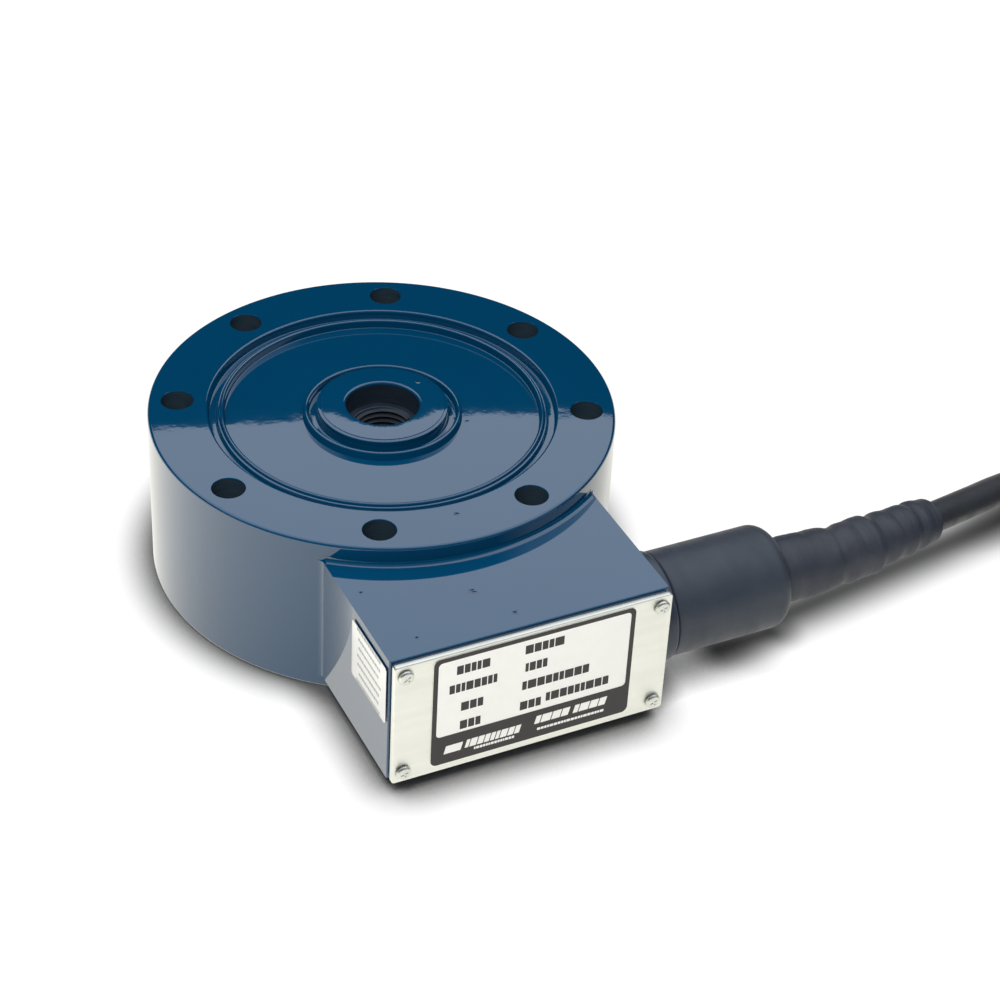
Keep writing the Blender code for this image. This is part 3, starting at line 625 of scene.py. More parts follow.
def cut(piece, tool, operation="DIFFERENCE"):
    """Work a boolean with another object into the piece, and remove that object."""
    boolean = piece.modifiers.new(tool.name, "BOOLEAN")
    boolean.operation = operation
    boolean.solver = "EXACT"
    boolean.object = tool
    mesh = evaluated(piece)
    piece.modifiers.clear()
    piece.data = mesh
    bpy.data.objects.remove(tool, do_unlink=True)


def ease_edges(mesh, width, segments):
    """Round the sharp edges that stand clear of the turned body."""
    shape = bmesh.new()
    shape.from_mesh(mesh)
    bmesh.ops.dissolve_limit(
        shape, angle_limit=radians(0.5), verts=shape.verts, edges=shape.edges
    )
    clear = body_radius + 0.0012
    chosen = [
        edge for edge in shape.edges
        if edge.calc_face_angle(0) > radians(50)
        and all(sqrt(v.co.x ** 2 + v.co.y ** 2) > clear for v in edge.verts)
    ]
    bmesh.ops.bevel(
        shape, geom=chosen, offset=width, segments=segments, profile=0.5, affect="EDGES"
    )
    shape.to_mesh(mesh)
    shape.free()


def cuboid(name, size, centre):
    """A rectangular cutter."""
    shape = bmesh.new()
    bmesh.ops.create_cube(shape, size=1.0)
    bmesh.ops.scale(shape, vec=size, verts=shape.verts)
    bmesh.ops.translate(shape, vec=centre, verts=shape.verts)
    mesh = bpy.data.meshes.new(name)
    shape.to_mesh(mesh)
    shape.free()
    return hold(name, mesh)


def pin(name, radius, reach, steps, place):
    """Mesh of a round cutter that reaches equally far to both sides of its place."""
    ends = [(0, reach), (radius, reach), (radius, -reach), (0, -reach)]
    return turned_mesh(name, ends, steps, False, place)


def even_shading(piece):
    """Normals that keep the flats flat beside the small rounded edges."""
    smooth(piece.data)
    weighted = piece.modifiers.new("even_shading", "WEIGHTED_NORMAL")
    weighted.keep_sharp = True
    weighted.weight = 60


def joined(name, meshes):
    """One mesh out of several."""
    shape = bmesh.new()
    for mesh in meshes:
        shape.from_mesh(mesh)
    whole = bpy.data.meshes.new(name)
    shape.to_mesh(whole)
    shape.free()
    return whole


def ride(piece, *nodes, slot=None):
    """The piece goes with the object, and stands for the CAD nodes named."""
    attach(piece, "root")
    if nodes:
        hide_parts(*nodes)
    return piece


# Trees that repeat or follow a path


def geometry_tree(name, sizes):
    """A node tree with a geometry input, named sizes and a geometry output."""
    tree = bpy.data.node_groups.new(name, "GeometryNodeTree")
    tree.interface.new_socket("Geometry", in_out="INPUT", socket_type="NodeSocketGeometry")
    for label, value in sizes.items():
        kind = "NodeSocketInt" if isinstance(value, int) else "NodeSocketFloat"
        socket = tree.interface.new_socket(label, in_out="INPUT", socket_type=kind)
        socket.default_value = value
    tree.interface.new_socket("Geometry", in_out="OUTPUT", socket_type="NodeSocketGeometry")
    return tree, add(tree, "NodeGroupInput"), add(tree, "NodeGroupOutput")


def close_tree(tree, source, target, material):
    """End a tree in Realize Instances and Set Material."""
    real = add(tree, "GeometryNodeRealizeInstances", {0: source})
    shaded = add(tree, "GeometryNodeSetShadeSmooth", {"Geometry": real.outputs[0]})
    coated = add(tree, "GeometryNodeSetMaterial", {
        "Geometry": shaded.outputs[0], "Material": material,
    })
    tree.links.new(coated.outputs[0], target.inputs[0])


def worked(name, mesh, tree, sizes, angle=32):
    """The plain mesh that a tree makes of a base mesh, with its named sizes set."""
    piece = hold(name, mesh)
    modifier = piece.modifiers.new(name, "NODES")
    modifier.node_group = tree
    for item in tree.interface.items_tree:
        if item.item_type == "SOCKET" and item.in_out == "INPUT" and item.name in sizes:
            modifier[item.identifier] = sizes[item.name]
    plain = evaluated(piece)
    piece.modifiers.clear()
    piece.data = plain
    smooth(plain, angle)
    return piece


def swept(tree, path, sides, radius):
    """A round section drawn along a path."""
    section = add(tree, "GeometryNodeCurvePrimitiveCircle", {"Resolution": sides, "Radius": radius})
    return add(tree, "GeometryNodeCurveToMesh", {
        "Curve": path, "Profile Curve": section.outputs[0], "Fill Caps": True,
    }).outputs[0]


def tube_tree(material):
    """A round sheath along a path of edges."""
    tree, entry, end = geometry_tree(f"sheath_{material.name}", {"Diameter": 0.009, "Sides": 24})
    path = add(tree, "GeometryNodeMeshToCurve", {"Mesh": entry.outputs["Geometry"]})
    radius = maths(tree, "MULTIPLY", entry.outputs["Diameter"], 0.5)
    sheath = swept(tree, path.outputs[0], entry.outputs["Sides"], radius)
    close_tree(tree, sheath, end, material)
    return tree


def thread_tree(material):
    """The ridge of a screw thread, wound up a bore from its foot."""
    tree, entry, end = geometry_tree("bore_thread", {
        "Radius": 0.0082, "Height": 0.02, "Turns": 10.0, "Ridge": 0.001,
    })
    helix = add(tree, "GeometryNodeCurveSpiral", {
        "Resolution": 72, "Rotations": entry.outputs["Turns"],
        "Start Radius": entry.outputs["Radius"], "End Radius": entry.outputs["Radius"],
        "Height": entry.outputs["Height"],
    })
    upright = add(tree, "GeometryNodeSetCurveNormal", {0: helix.outputs[0]}, mode="Z_UP")
    ridge = swept(tree, upright.outputs[0], 3, entry.outputs["Ridge"])
    close_tree(tree, ridge, end, material)
    return tree


def row_tree(name, single, material):
    """Copies of one part on the points of a mesh, each turned about the part's own axis."""
    tree, entry, end = geometry_tree(name, {"Turn": 0.9, "Seed": 3})
    part = add(tree, "GeometryNodeObjectInfo", {"Object": single})
    random_turn = add(tree, "FunctionNodeRandomValue", {
        3: entry.outputs["Turn"], "Seed": entry.outputs["Seed"],
    }, data_type="FLOAT")
    angle = add(tree, "ShaderNodeCombineXYZ", {"Y": random_turn.outputs[1]})
    copies = add(tree, "GeometryNodeInstanceOnPoints", {
        "Points": entry.outputs["Geometry"], "Instance": part.outputs["Geometry"],
        "Rotation": angle.outputs[0],
    })
    close_tree(tree, copies.outputs[0], end, material)
    return tree


def path_mesh(name, points):
    mesh = bpy.data.meshes.new(name)
    mesh.from_pydata(points, [(i, i + 1) for i in range(len(points) - 1)], [])
    return mesh


# The load cell's pieces


def body(enamel, steel, drilled):
    profile = [
        (0.0, thread_floor),
        (thread_radius, thread_floor),
        (thread_radius, bore_floor, 0.0004, 3),
        (bore_radius, bore_floor),
        (bore_radius, land_top, 0.0007, 6),
        (land_radius - 0.0011, land_top, 0.0001, 2),
        (land_radius - 0.0011, land_top - 0.00025, 0.0001, 2),
        (land_radius - 0.0001, land_top - 0.00025, 0.0003, 4),
        (land_radius - 0.0001, hub_groove, 0.0004, 3),
        (hub_radius - 0.0011, hub_groove, 0.0003, 3),
        (hub_radius - 0.0011, hub_ledge + 0.0002, 0.0005, 6),
        (hub_radius, hub_ledge + 0.0002, 0.0005, 6),
        (hub_foot, face_top, 0.0001, 2),
        (hub_foot, plate_seat),
        (hub_core, plate_seat),
        (hub_core, web_top),
        (cavity_radius, web_top),
        (cavity_radius, plate_seat),
        (ridge_inner, plate_seat),
        (ridge_inner, ridge_top, 0.00015, 3),
        (ridge_inner + 0.0008, ridge_top, 0.0003, 4),
        (ridge_inner + 0.0010, groove_floor, 0.0003, 3),
        (groove_outer - 0.0005, groove_floor, 0.0003, 3),
        (groove_outer - 0.0004, body_height, 0.0006, 7),
        (body_radius, body_height, 0.0009, 7),
        (body_radius, 0.0, 0.0009, 5),
        (ridge_inner, 0.0),
        (ridge_inner, cover_seat),
        (cavity_radius, cover_seat),
        (cavity_radius, web_bottom),
        (hub_core, web_bottom),
        (hub_core, base_hollow),
        (0.0, base_hollow),
    ]
    mesh = turned_mesh("cell_body_finish", profile, turned_steps, False)
    piece = hold("cell_body_finish", mesh)
    flare = [
        (0.0, body_height + 0.01),
        (bolt_radius + 0.0103, body_height + 0.01),
        (bolt_radius, body_height - 0.00015, 0.0004, 5),
        (bolt_radius, 0.0004),
        (bolt_radius + 0.0104, -0.01),
        (0.0, -0.01),
    ]
    angles = [pi / bolt_count * (2 * i + 1) + bolt_turn for i in range(bolt_count)]
    holes = [(bolt_circle_radius * cos(a), bolt_circle_radius * sin(a)) for a in angles]
    cutters = [
        turned_mesh("bolt_hole", flare, 64, False, Matrix.Translation((*hole, 0))) for hole in holes
    ]
    cut(piece, hold("bolt_holes", joined("bolt_holes", cutters)))
    cut(piece, web_pockets())
    passage = pin("lead_passage", 0.003, 0.04, 24, along_y(0, -body_radius, gland_z))
    cut(piece, hold("lead_passage", passage))
    clad(piece.data, enamel, steel, drilled)
    for face in piece.data.polygons:
        x, y, z = face.center
        if sqrt(x * x + y * y) < bore_radius + 0.00005 and z < land_top - 0.0007:
            face.material_index = 1
        elif 0.0006 < z < body_height - 0.00045 and any(
            (x - i) ** 2 + (y - j) ** 2 < (bolt_radius + 0.0001) ** 2 for i, j in holes
        ):
            face.material_index = 2
    even_shading(piece)
    ride(piece, "cell_body", slot="blue_enamel")


def web_pockets():
    """Cutter of the pockets between the eight shear webs."""
    inner, outer = hub_core + 0.001, cavity_radius - 0.001
    loops = []
    for i in range(bolt_count):
        middle = 2 * pi * i / bolt_count
        loop = []
        for radius, segments, direction in ((outer, 14, 1), (inner, 8, -1)):
            reach = pi / bolt_count - 0.0025 / radius
            for k in range(segments + 1):
                angle = middle + direction * reach * (2 * k / segments - 1)
                loop.append((radius * cos(angle), radius * sin(angle)))
        loops.append(loop)
    return sheet_part("web_pockets", loops, 0.030, 0.0, Matrix.Translation((0, 0, 0.024)))


def thread(steel):
    pitch = 0.0018
    height = bore_floor - thread_floor - 0.003
    base = path_mesh("bore_thread", [(0, 0, 0), (0, 0, 0.001)])
    piece = worked("bore_thread", base, thread_tree(steel), {
        "Radius": thread_radius + 0.0001, "Height": height, "Turns": height / pitch,
        "Ridge": 0.0009,
    }, 20)
    piece.data.transform(Matrix.Translation((0, 0, thread_floor + 0.0024)))
    ride(piece, slot="plated_steel")


def diaphragms(enamel):
    outer, inner = ridge_inner - 0.00005, hub_foot + 0.00003
    sheet, top = 0.0011, 0.0480
    flange = outer - sheet
    pan = [
        (inner, face_top),
        (flange, face_top, 0.0003, 4),
        (flange, top, 0.0005, 7),
        (outer, top, 0.0005, 7),
        (outer, plate_top - sheet, 0.001, 4),
        (inner, plate_top - sheet),
    ]
    piece = turned("upper_diaphragm", pan, turned_steps, enamel)
    even_shading(piece)
    ride(piece, "top_diaphragm", slot="blue_enamel")
    disc = [(0.0, 0.0023), (outer, 0.0023), (outer, 0.0003, 0.0004, 4), (0.0, 0.0003)]
    piece = turned("closing_disc", disc, 160, enamel, closed=False)
    even_shading(piece)
    ride(piece, "bottom_cover", slot="blue_enamel")


def box_plan(steps):
    """Outline of the box from above, with coves where it runs into the round body."""
    back, cove = body_radius + 0.00005, 0.0025
    cove_x = box_half + cove
    cove_y = -sqrt((back + cove) ** 2 - cove_x ** 2)
    toward_axis = atan2(-cove_y, -cove_x)
    right = [
        (cove_x + cove * cos(a), cove_y + cove * sin(a))
        for a in (pi + (toward_axis - pi) * i / steps for i in range(steps + 1))
    ]
    edge = atan2(right[-1][1], right[-1][0])
    sweep = -pi / 2 - edge
    arc = [edge + 2 * sweep * i / 40 for i in range(1, 40)]
    left = [(-x, y) for x, y in reversed(right)]
    front = [(-box_half, box_front), (box_half, box_front)]
    return [*front, *right, *[(back * cos(a), back * sin(a)) for a in arc], *left]


def box_opening():
    """The box's hollow from the front, with a land left round each cover screw."""
    x, z = box_half - box_wall, (box_top - box_bottom) / 2 - box_wall
    quarter = [(x, z - 0.00275), (x - 0.00245, z - 0.00275), (x - 0.00245, z)]
    upper = quarter + [(-i, j) for i, j in reversed(quarter)]
    return upper + [(i, -j) for i, j in reversed(upper)]


def terminal_box(enamel):
    place = Matrix.Translation((0, 0, box_middle))
    piece = sheet_part("terminal_box_finish", [box_plan(10)], box_top - box_bottom, 0.0, place)
    ease_edges(piece.data, 0.0005, 5)
    inner, cove = body_radius + 0.00005, 0.0016
    outer = inner + cove
    steps = 12
    hollow = [
        (outer - cove * sin(pi / 2 * i / steps), box_top + cove * (1 - cos(pi / 2 * i / steps)))
        for i in range(steps, -1, -1)
    ]
    ring = [*hollow, (outer, box_top - 0.0015), (inner, box_top - 0.0015)]
    fillet = hold("box_top_cove", turned_mesh("box_top_cove", ring, turned_steps))
    span = cuboid("cove_span", (2 * (box_half - 0.0006), 0.12, 0.03), (0, -0.06, box_top))
    cut(fillet, span, "INTERSECT")
    cut(piece, fillet, "UNION")
    hollow = sheet_part("box_hollow", [box_opening()], 0.0956, 0.0, along_y(0, -0.0508, box_middle))
    cut(piece, hollow)
    entry = pin("gland_entry", 0.0083, 0.006, 48, along_x(box_half, gland_y, gland_z))
    cut(piece, hold("gland_entry", entry))
    taps = [pin("tap", screw_hole, 0.0086, 16, along_y(x, box_front, z)) for x, z in screw_spots]
    cut(piece, hold("screw_taps", joined("screw_taps", taps)))
    clad(piece.data, enamel)
    even_shading(piece)
    ride(piece, "terminal_box", slot="blue_enamel")


def front_cover(aluminium, rubber):
    holes = [circle(screw_hole, 24, (x, z - box_middle)) for x, z in screw_spots]
    thickness = cover_back - cover_face
    plate = sheet_part("front_cover_plate", [rounded_rectangle(0.0784, 0.0387, 0.0009), *holes],
                       thickness, 0.00025, along_y(0, cover_face + thickness / 2, box_middle),
                       aluminium)
    ride(plate, "front_cover", slot="satin_aluminium")
    loops = [rounded_rectangle(0.0776, 0.0379, 0.0008), *holes, box_opening()]
    gasket = sheet_part("gasket_finish", loops, 0.0009, 0.0001,
                        along_y(0, (box_front + cover_back) / 2, box_middle), rubber)
    ride(gasket, "cover_gasket", slot="black_rubber")


def cover_screws(steel):
    """Pan-head screws with a crossed recess, on the four corners of the cover."""
    head = [
        (0.0, 0.0009), (0.0021, 0.0009, 0.00075, 8), (0.0021, 0.0, 0.0001, 2), (0.00115, 0.0),
        (0.00115, -0.008), (0.0, -0.008),
    ]
    single = hold("cover_screw_head", turned_mesh("cover_screw_head", head, 40, False,
                                                  along_y(0, 0, 0)))
    for width, depth in ((0.0021, 0.0004), (0.0004, 0.0021)):
        cut(single, cuboid("recess", (width, 0.0005, depth), (0, -0.0010, 0)))
    smooth(single.data)
    seats = bpy.data.meshes.new("cover_screws")
    seats.from_pydata([(x, cover_face - 0.0003, z) for x, z in screw_spots], [], [])
    piece = worked("cover_screws", seats, row_tree("screw_row", single, steel),
                   {"Turn": 1.4, "Seed": 3})
    bpy.data.objects.remove(single, do_unlink=True)
    ride(piece, *[f"cover_screw_{i}" for i in range(1, 5)], slot="plated_steel")


def rating_label(white, ink):
    """White film with a dark border, a dark foot band, and plain bars where print would be."""
    width, height, back, middle = 0.057, 0.0355, cover_face, box_middle + 0.0007
    place = along_y(0, back - 0.0001, middle)
    film = sheet_part("rating_label_film", [rounded_rectangle(width, height, 0.0018)], 0.0002,
                      0.00004, place, white)
    ride(film, "rating_label", slot="label_white")
    rim, band = 0.0013, 0.0094
    window_height = height - rim - band
    centre = (0.0, (band - rim) / 2)
    window = rounded_rectangle(width - 2 * rim, window_height, 0.0012, 6, centre)
    frame_loops = [rounded_rectangle(width, height, 0.0018), window]
    layer = along_y(0, back - 0.0002, middle)
    ride(sheet_part("rating_label_border", frame_loops, 0.00006, 0.0, layer, ink),
         slot="terminal_black")
    rows = (
        (-0.0175, 0.0127, 0.0092, 5), (0.0025, 0.0133, 0.0110, 5),
        (-0.0173, 0.0068, 0.0133, 8), (0.0004, 0.0074, 0.0062, 4),
        (-0.0174, 0.0002, 0.0062, 3), (0.0063, 0.0014, 0.0192, 9),
        (-0.0177, -0.0060, 0.0058, 3), (-0.0006, -0.0054, 0.0060, 3),
        (0.0129, -0.0046, 0.0182, 9),
    )
    ride(sheet_part("rating_label_rows", greeked(rows, 0.0028), 0.00006, 0.0, layer, ink),
         slot="terminal_black")
    large = ((-0.0222, -0.0132, 0.0048, 1), (-0.0109, -0.0130, 0.0155, 9),
             (0.0061, -0.0117, 0.0098, 4), (0.0171, -0.0117, 0.0094, 4))
    small = ((-0.0105, -0.0153, 0.0115, 14), (0.0116, -0.0150, 0.0195, 20))
    top = along_y(0, back - 0.00026, middle)
    blocks = greeked(large, 0.0026, lean=0.25) + greeked(small, 0.0008, 0.00015)
    ride(sheet_part("rating_label_marks", blocks, 0.00006, 0.0, top, white), slot="label_white")


def greeked(words, height, gap=0.0003, lean=0.0):
    """Plain blocks of uneven width in words and rows, where print would be."""
    shares = (1.0, 0.72, 1.15, 0.86, 0.6)
    blocks = []
    for centre, z, wide, count in words:
        widths = [shares[(3 * i + count) % 5] for i in range(count)]
        unit = (wide - gap * (count - 1)) / sum(widths)
        x = centre - wide / 2
        for share in widths:
            block = rounded_rectangle(share * unit, height, 0.0001, 2, (x + share * unit / 2, z))
            blocks.append([(i + lean * (j - z), j) for i, j in block])
            x += share * unit + gap
    return blocks


def side_label(white, relief):
    middle = (-0.08395, 0.0311)
    film = sheet_part("side_label_film", [rounded_rectangle(0.018, 0.0217, 0.0008)], 0.0002,
                      0.00004, along_x(-box_half - 0.0004, *middle), white)
    ride(film, "side_label", slot="label_white")
    rows = [
        (-0.0004 * (i % 2), 0.0084 - 0.0028 * i, 0.0150 - 0.0012 * (i % 3), 11) for i in range(7)
    ]
    blocks = [[(-z, y) for y, z in block] for block in greeked(rows, 0.0009)]
    ride(sheet_part("side_label_rows", blocks, 0.00005, 0.0,
                    along_x(-box_half - 0.00051, *middle), relief), slot="label_white")


def gland(paint):
    profile = [
        (gland_bore, spigot_end),
        (spigot_radius, spigot_end, 0.0006, 3),
        (spigot_radius, collar_end),
        (collar_radius, collar_end, 0.0010, 6),
        (collar_radius, collar_start, 0.0004, 3),
        (gland_bore, collar_start),
        (gland_bore, 0.0334, 0.0005, 3),
        (0.0048, 0.0334),
        (0.0048, 0.0509),
        (gland_bore, 0.0509),
    ]
    piece = turned("gland_collar", profile, 96, paint, place=along_x(0, gland_y, gland_z))
    even_shading(piece)
    ride(piece, "gland_body", slot="blue_enamel")


def cable_boot(rubber):
    profile = [
        (0.0093, boot_end),
        (boot_radius, boot_end, 0.0045, 14),
        (boot_radius, boot_start, 0.0006, 4),
        (0.0113, boot_start),
        (0.0113, boot_end - 0.004),
        (0.0093, boot_end - 0.004),
    ]
    piece = turned("cable_boot_finish", profile, 128, rubber, place=along_x(0, gland_y, gland_z))
    even_shading(piece)
    ride(piece, "cable_boot", slot="black_rubber")


def travelled(points):
    """Distance along a line at each of its points."""
    lengths = [0.0]
    for a, b in zip(points, points[1:]):
        lengths.append(lengths[-1] + (b - a).length)
    return lengths


def smooth_route(points, spacing):
    """Evenly spaced points on a smooth curve through the given ones."""
    ends = [2 * points[0] - points[1], *points, 2 * points[-1] - points[-2]]
    dense = []
    for a, b, c, d in zip(ends, ends[1:], ends[2:], ends[3:]):
        for i in range(30):
            t = i / 30
            dense.append(
                0.5 * (2 * b + (c - a) * t + (2 * a - 5 * b + 4 * c - d) * t ** 2
                       + (3 * b - a - 3 * c + d) * t ** 3)
            )
    dense.append(points[-1])
    lengths = travelled(dense)
    count = max(2, round(lengths[-1] / spacing))
    even = []
    k = 0
    for i in range(count + 1):
        target = lengths[-1] * i / count
        while k < len(lengths) - 2 and lengths[k + 1] < target:
            k += 1
        share = (target - lengths[k]) / (lengths[k + 1] - lengths[k])
        even.append(dense[k].lerp(dense[k + 1], share))
    return even


def cable_places():
    drop = gland_z - cable_rest
    return [
        Vector((boot_end + past, gland_y + aside, cable_rest + share * drop))
        for past, aside, share in cable_route
    ]


def cable_line(spacing=0.003):
    """The cable's centre line from inside the box to where it meets the coil."""
    route = cable_places()
    first = route[0].x - cable_start
    straight = [Vector((cable_start + first * i / 4, gland_y, gland_z)) for i in range(4)]
    return smooth_route([*straight, *route], spacing)


def ease(share):
    share = min(1.0, max(0.0, share))
    return share * share * (3 - 2 * share)


def coil_centre():
    before, end = cable_places()[-2:]
    ahead = end - before
    ahead.z = 0.0
    ahead.normalize()
    right = Vector((ahead.y, -ahead.x, 0.0))
    offset = coil_mid_radius + 2 * cable_diameter + 0.0003
    centre = end + right * offset
    centre.z = 0.0
    return centre, atan2(-right.y, -right.x), offset


def coil_line():
    """Three layers of turns, wound in, out and in again, and the last turn laid on top."""
    centre, entry, offset = coil_centre()
    radii = [coil_mid_radius + cable_diameter * k for k in (1, 0, -1)]
    stack = [(r, cable_rest) for r in radii]
    stack += [(r, cable_rest + cable_diameter) for r in reversed(radii)]
    stack += [(r, cable_rest + 2 * cable_diameter) for r in radii]
    top = (coil_mid_radius, cable_rest + 3 * cable_diameter)
    stack = [(offset, cable_rest), *stack, top]
    points = []
    per_turn = 72
    last_turn = int(round((entry - radians(tail_end)) / (2 * pi) * per_turn)) % per_turn
    for turn in range(coil_turns + 1):
        (r0, z0), (r1, z1) = stack[turn], stack[turn + 1]
        for i in range(per_turn if turn < coil_turns else last_turn + 1):
            travel = 360 * i / per_turn
            height = z0 + (z1 - z0) * ease(travel / 40)
            radius = r0 + (r1 - r0) * ease((travel - (0 if z1 == z0 else 25)) / 50)
            points.append((radians(travel + 360 * turn), radius, height))
    return [
        centre + Vector((r * cos(entry - a), r * sin(entry - a), z)) for a, r, z in points
    ]


def core_lines(end, heading):
    """The four stripped cores, fanned out on the coil from the cable's end."""
    ahead = Vector((cos(heading), sin(heading), 0.0))
    left = Vector((-ahead.y, ahead.x, 0.0))
    lines = []
    steps = 16
    for i in range(4):
        across = i - 1.5
        turn = radians(33) - radians(5) * across
        spot = end + ahead * 0.0002 + left * 0.0022 * across
        places = [spot.copy()]
        for k in range(steps):
            angle = heading - turn * k / steps
            spot = spot + Vector((cos(angle), sin(angle), 0.0)) * 0.026 / steps
            drop = (cable_rest - 0.0009) * ease((k + 1) / steps)
            places.append(Vector((spot.x, spot.y, end.z - drop)))
        lines.append(places)
    return lines


def cable(sheath, insulations, tin):
    line = cable_line()
    turns = coil_line()
    route = [*line[:-1], *turns]
    ahead = route[-1] - route[-2]
    ends = []
    for name, places in zip(insulations, core_lines(route[-1], atan2(ahead.y, ahead.x))):
        piece = worked(f"core_{name}_sleeve", path_mesh("core", places[:13]),
                       tube_tree(insulations[name]), {"Diameter": 0.0016, "Sides": 14})
        ride(piece, f"core_end_{name}", slot=f"core_{name}")
        tip = worked(f"core_{name}_tip", path_mesh("tip", places[11:]),
                     tube_tree(tin), {"Diameter": 0.0010, "Sides": 10})
        ride(tip, slot="plated_steel")
        ends += [piece, tip]
    piece = worked("cable_sheath_finish", path_mesh("cable", route), tube_tree(sheath),
                   {"Diameter": cable_diameter, "Sides": 28})
    ride(piece, "signal_cable", "cable_coil", "cable_tail", slot="cable_sheath")
    print("cable length", round(travelled(route)[-1], 3))
    return line


def bend_relief(line, rubber):
    """A tapered rubber sleeve with soft rings, wrapped along the cable's line."""
    stations = (
        (relief_start, 0.0110), (0.0732, 0.0110), (0.0735, 0.0088), (0.0790, 0.0086),
        (0.0850, 0.0092), (0.0925, 0.0090), (0.0975, 0.0090), (0.1010, 0.0082), (0.1045, 0.0086),
        (0.1085, 0.0083), (0.1120, 0.0084), (0.1150, 0.0074), (0.1185, 0.0078), (0.1225, 0.0074),
        (0.1262, 0.0075), (0.1288, 0.0065), (0.1312, 0.0070), (0.1345, 0.0066), (0.1372, 0.0064),
        (0.1378, 0.0047),
    )
    lengths = travelled(line)

    def at(travel):
        k = max(i for i, step in enumerate(lengths[:-1]) if step <= travel or i == 0)
        share = (travel - lengths[k]) / (lengths[k + 1] - lengths[k])
        spot = line[k].lerp(line[k + 1], share)
        before = (line[k] - line[max(k - 1, 0)]) if k else line[1] - line[0]
        after = line[k + 1] - line[k]
        return spot, before.normalized().lerp(after.normalized(), share).normalized()

    sides = 64
    shape = bmesh.new()
    rings = []
    count = 170
    first, last = stations[0][0], stations[-1][0]
    profile = []
    for i in range(count + 1):
        x = first + (last - first) * i / count
        k = max(j for j in range(len(stations) - 1) if stations[j][0] <= x)
        (x0, r0), (x1, r1) = stations[k], stations[k + 1]
        radius = r0 + (r1 - r0) * ease((x - x0) / (x1 - x0))
        if x > boot_end + 0.001:
            radius += 0.00004 * sin(2 * pi * x / 0.0047) + 0.00002 * sin(2 * pi * x / 0.0019 + 1)
        profile.append((x, radius))
    profile += [(last, 0.0047), (first, 0.0047)]
    for x, radius in profile:
        spot, ahead = at(x - cable_start)
        side = ahead.cross(Vector((0, 0, 1))).normalized()
        above = side.cross(ahead)
        swell = 0.00016 if boot_end + 0.001 < x < last - 0.001 and radius > 0.005 else 0.0
        ring = []
        for i in range(sides):
            turn = 2 * pi * i / sides
            reach = radius + swell * (sin(2 * turn + 310 * x) + 0.6 * sin(3 * turn - 540 * x))
            ring.append(shape.verts.new(
                spot + above * reach * cos(turn) + side * reach * sin(turn)
            ))
        rings.append(ring)
    for a, b in zip(rings, rings[1:] + rings[:1]):
        for i in range(sides):
            j = (i + 1) % sides
            shape.faces.new((a[i], b[i], b[j], a[j]))
    bmesh.ops.recalc_face_normals(shape, faces=shape.faces)
    mesh = bpy.data.meshes.new("bend_relief_finish")
    shape.to_mesh(mesh)
    shape.free()
    smooth(mesh, 50)
    piece = hold("bend_relief_finish", mesh, rubber)
    ride(piece, "bend_relief", slot="black_rubber")


def inner_pieces(materials):
    """Finishes of the CAD pieces inside the box, the gland and the cavity."""
    by_prefix = (
        ("strain_gauge", "foil"), ("bridge_", "copper"), ("compensation_board", "laminate"),
        ("board_standoff", "brass"), ("gland_locknut", "brass"), ("board_screw", "steel"),
        ("gland_washer", "steel"), ("gland_seal", "rubber"), ("terminal_strip", "black"),
        ("trim_resistor", "film"), ("core_wire_red", "red"), ("core_wire_black", "black_core"),
        ("core_wire_green", "green"), ("core_wire_white", "white"),
    )
    for name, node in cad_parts.items():
        for prefix, finish_name in by_prefix:
            if name.startswith(prefix):
                clad(node.data, materials[finish_name])


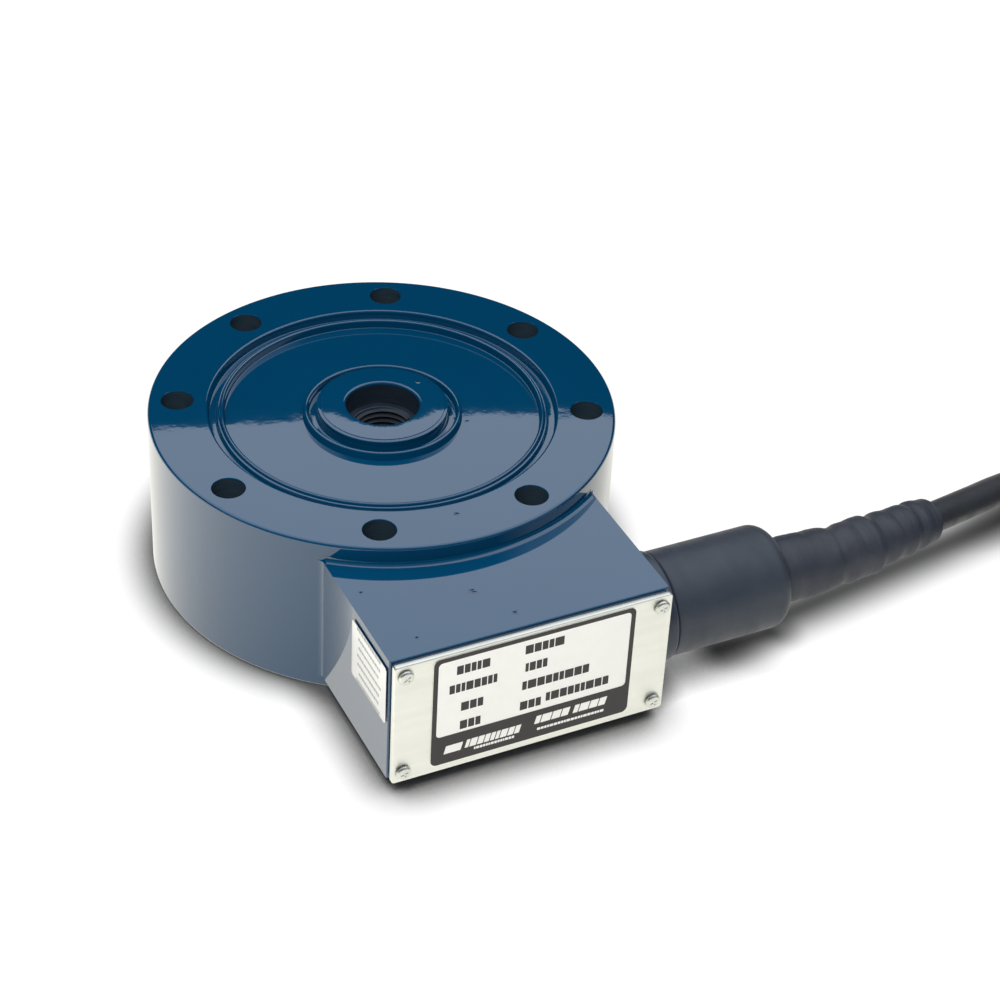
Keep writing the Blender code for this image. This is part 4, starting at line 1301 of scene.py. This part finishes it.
def main():
    photo_camera()
    studio_world()
    soft_lamp(-45, 60, 0.34, 8.6)
    studio_floor()
    enamel = blue_enamel()
    steel = plated_steel()
    aluminium = satin_aluminium()
    rubber = matt_rubber(
        "boot_rubber", (0.030, 0.040, 0.058), (0.045, 0.055, 0.074), 0.46, 0.00010
    )
    relief_rubber = matt_rubber(
        "relief_rubber", (0.026, 0.032, 0.047), (0.044, 0.050, 0.066), 0.52, 0.00025
    )
    sheath = matt_rubber(
        "cable_sheath", (0.028, 0.031, 0.038), (0.040, 0.044, 0.052), 0.44, 0.00006
    )
    white = label_film("label_white", (0.99, 0.99, 0.98), 0.85)
    ink = label_film("label_ink", (0.016, 0.011, 0.012))
    insulations = {
        "red": small_part("core_red", (0.50, 0.02, 0.02), (0.58, 0.04, 0.03), 0.38),
        "black": small_part("core_black", (0.015, 0.015, 0.015), (0.03, 0.03, 0.03), 0.40),
        "green": small_part("core_green", (0.02, 0.26, 0.06), (0.04, 0.33, 0.09), 0.38),
        "white": small_part("core_white", (0.74, 0.74, 0.72), (0.82, 0.82, 0.80), 0.38),
    }
    line = cable(sheath, insulations, steel)
    bend_relief(line, relief_rubber)
    body(
        enamel,
        dark_steel("machined_steel", (0.022, 0.038, 0.062), (0.042, 0.060, 0.088), 0.30, 0.5),
        dark_steel("drilled_steel", (0.020, 0.044, 0.066), (0.042, 0.062, 0.086), 0.42, 0.1),
    )
    thread(dark_steel("thread_steel", (0.020, 0.028, 0.040), (0.040, 0.048, 0.062), 0.5, 0.3))
    diaphragms(enamel)
    terminal_box(enamel)
    front_cover(aluminium, rubber)
    cover_screws(small_part("pale_plating", (0.80, 0.82, 0.77), (0.88, 0.90, 0.85), 0.46, 1.0))
    rating_label(white, ink)
    side_label(white, label_film("label_grey", (0.50, 0.51, 0.48)))
    gland(matt_rubber("collar_paint", (0.030, 0.042, 0.066), (0.044, 0.056, 0.082), 0.36, 0.00004))
    cable_boot(rubber)
    inner_pieces({
        "foil": small_part("gauge_foil", (0.55, 0.30, 0.06), (0.66, 0.40, 0.10), 0.36),
        "copper": small_part("enamelled_copper", (0.48, 0.18, 0.05), (0.60, 0.26, 0.08), 0.32, 0.6),
        "laminate": small_part("green_laminate", (0.015, 0.13, 0.05), (0.03, 0.19, 0.07), 0.42),
        "brass": small_part("brass", (0.62, 0.43, 0.16), (0.74, 0.54, 0.24), 0.28, 1.0),
        "steel": steel,
        "rubber": rubber,
        "black": small_part("terminal_black", (0.02, 0.02, 0.02), (0.04, 0.04, 0.04), 0.45),
        "film": small_part("resistor_body", (0.08, 0.24, 0.36), (0.12, 0.31, 0.45), 0.38),
        "red": insulations["red"],
        "black_core": insulations["black"],
        "green": insulations["green"],
        "white": insulations["white"],
    })


scene.view_settings.view_transform = "Standard"
main()
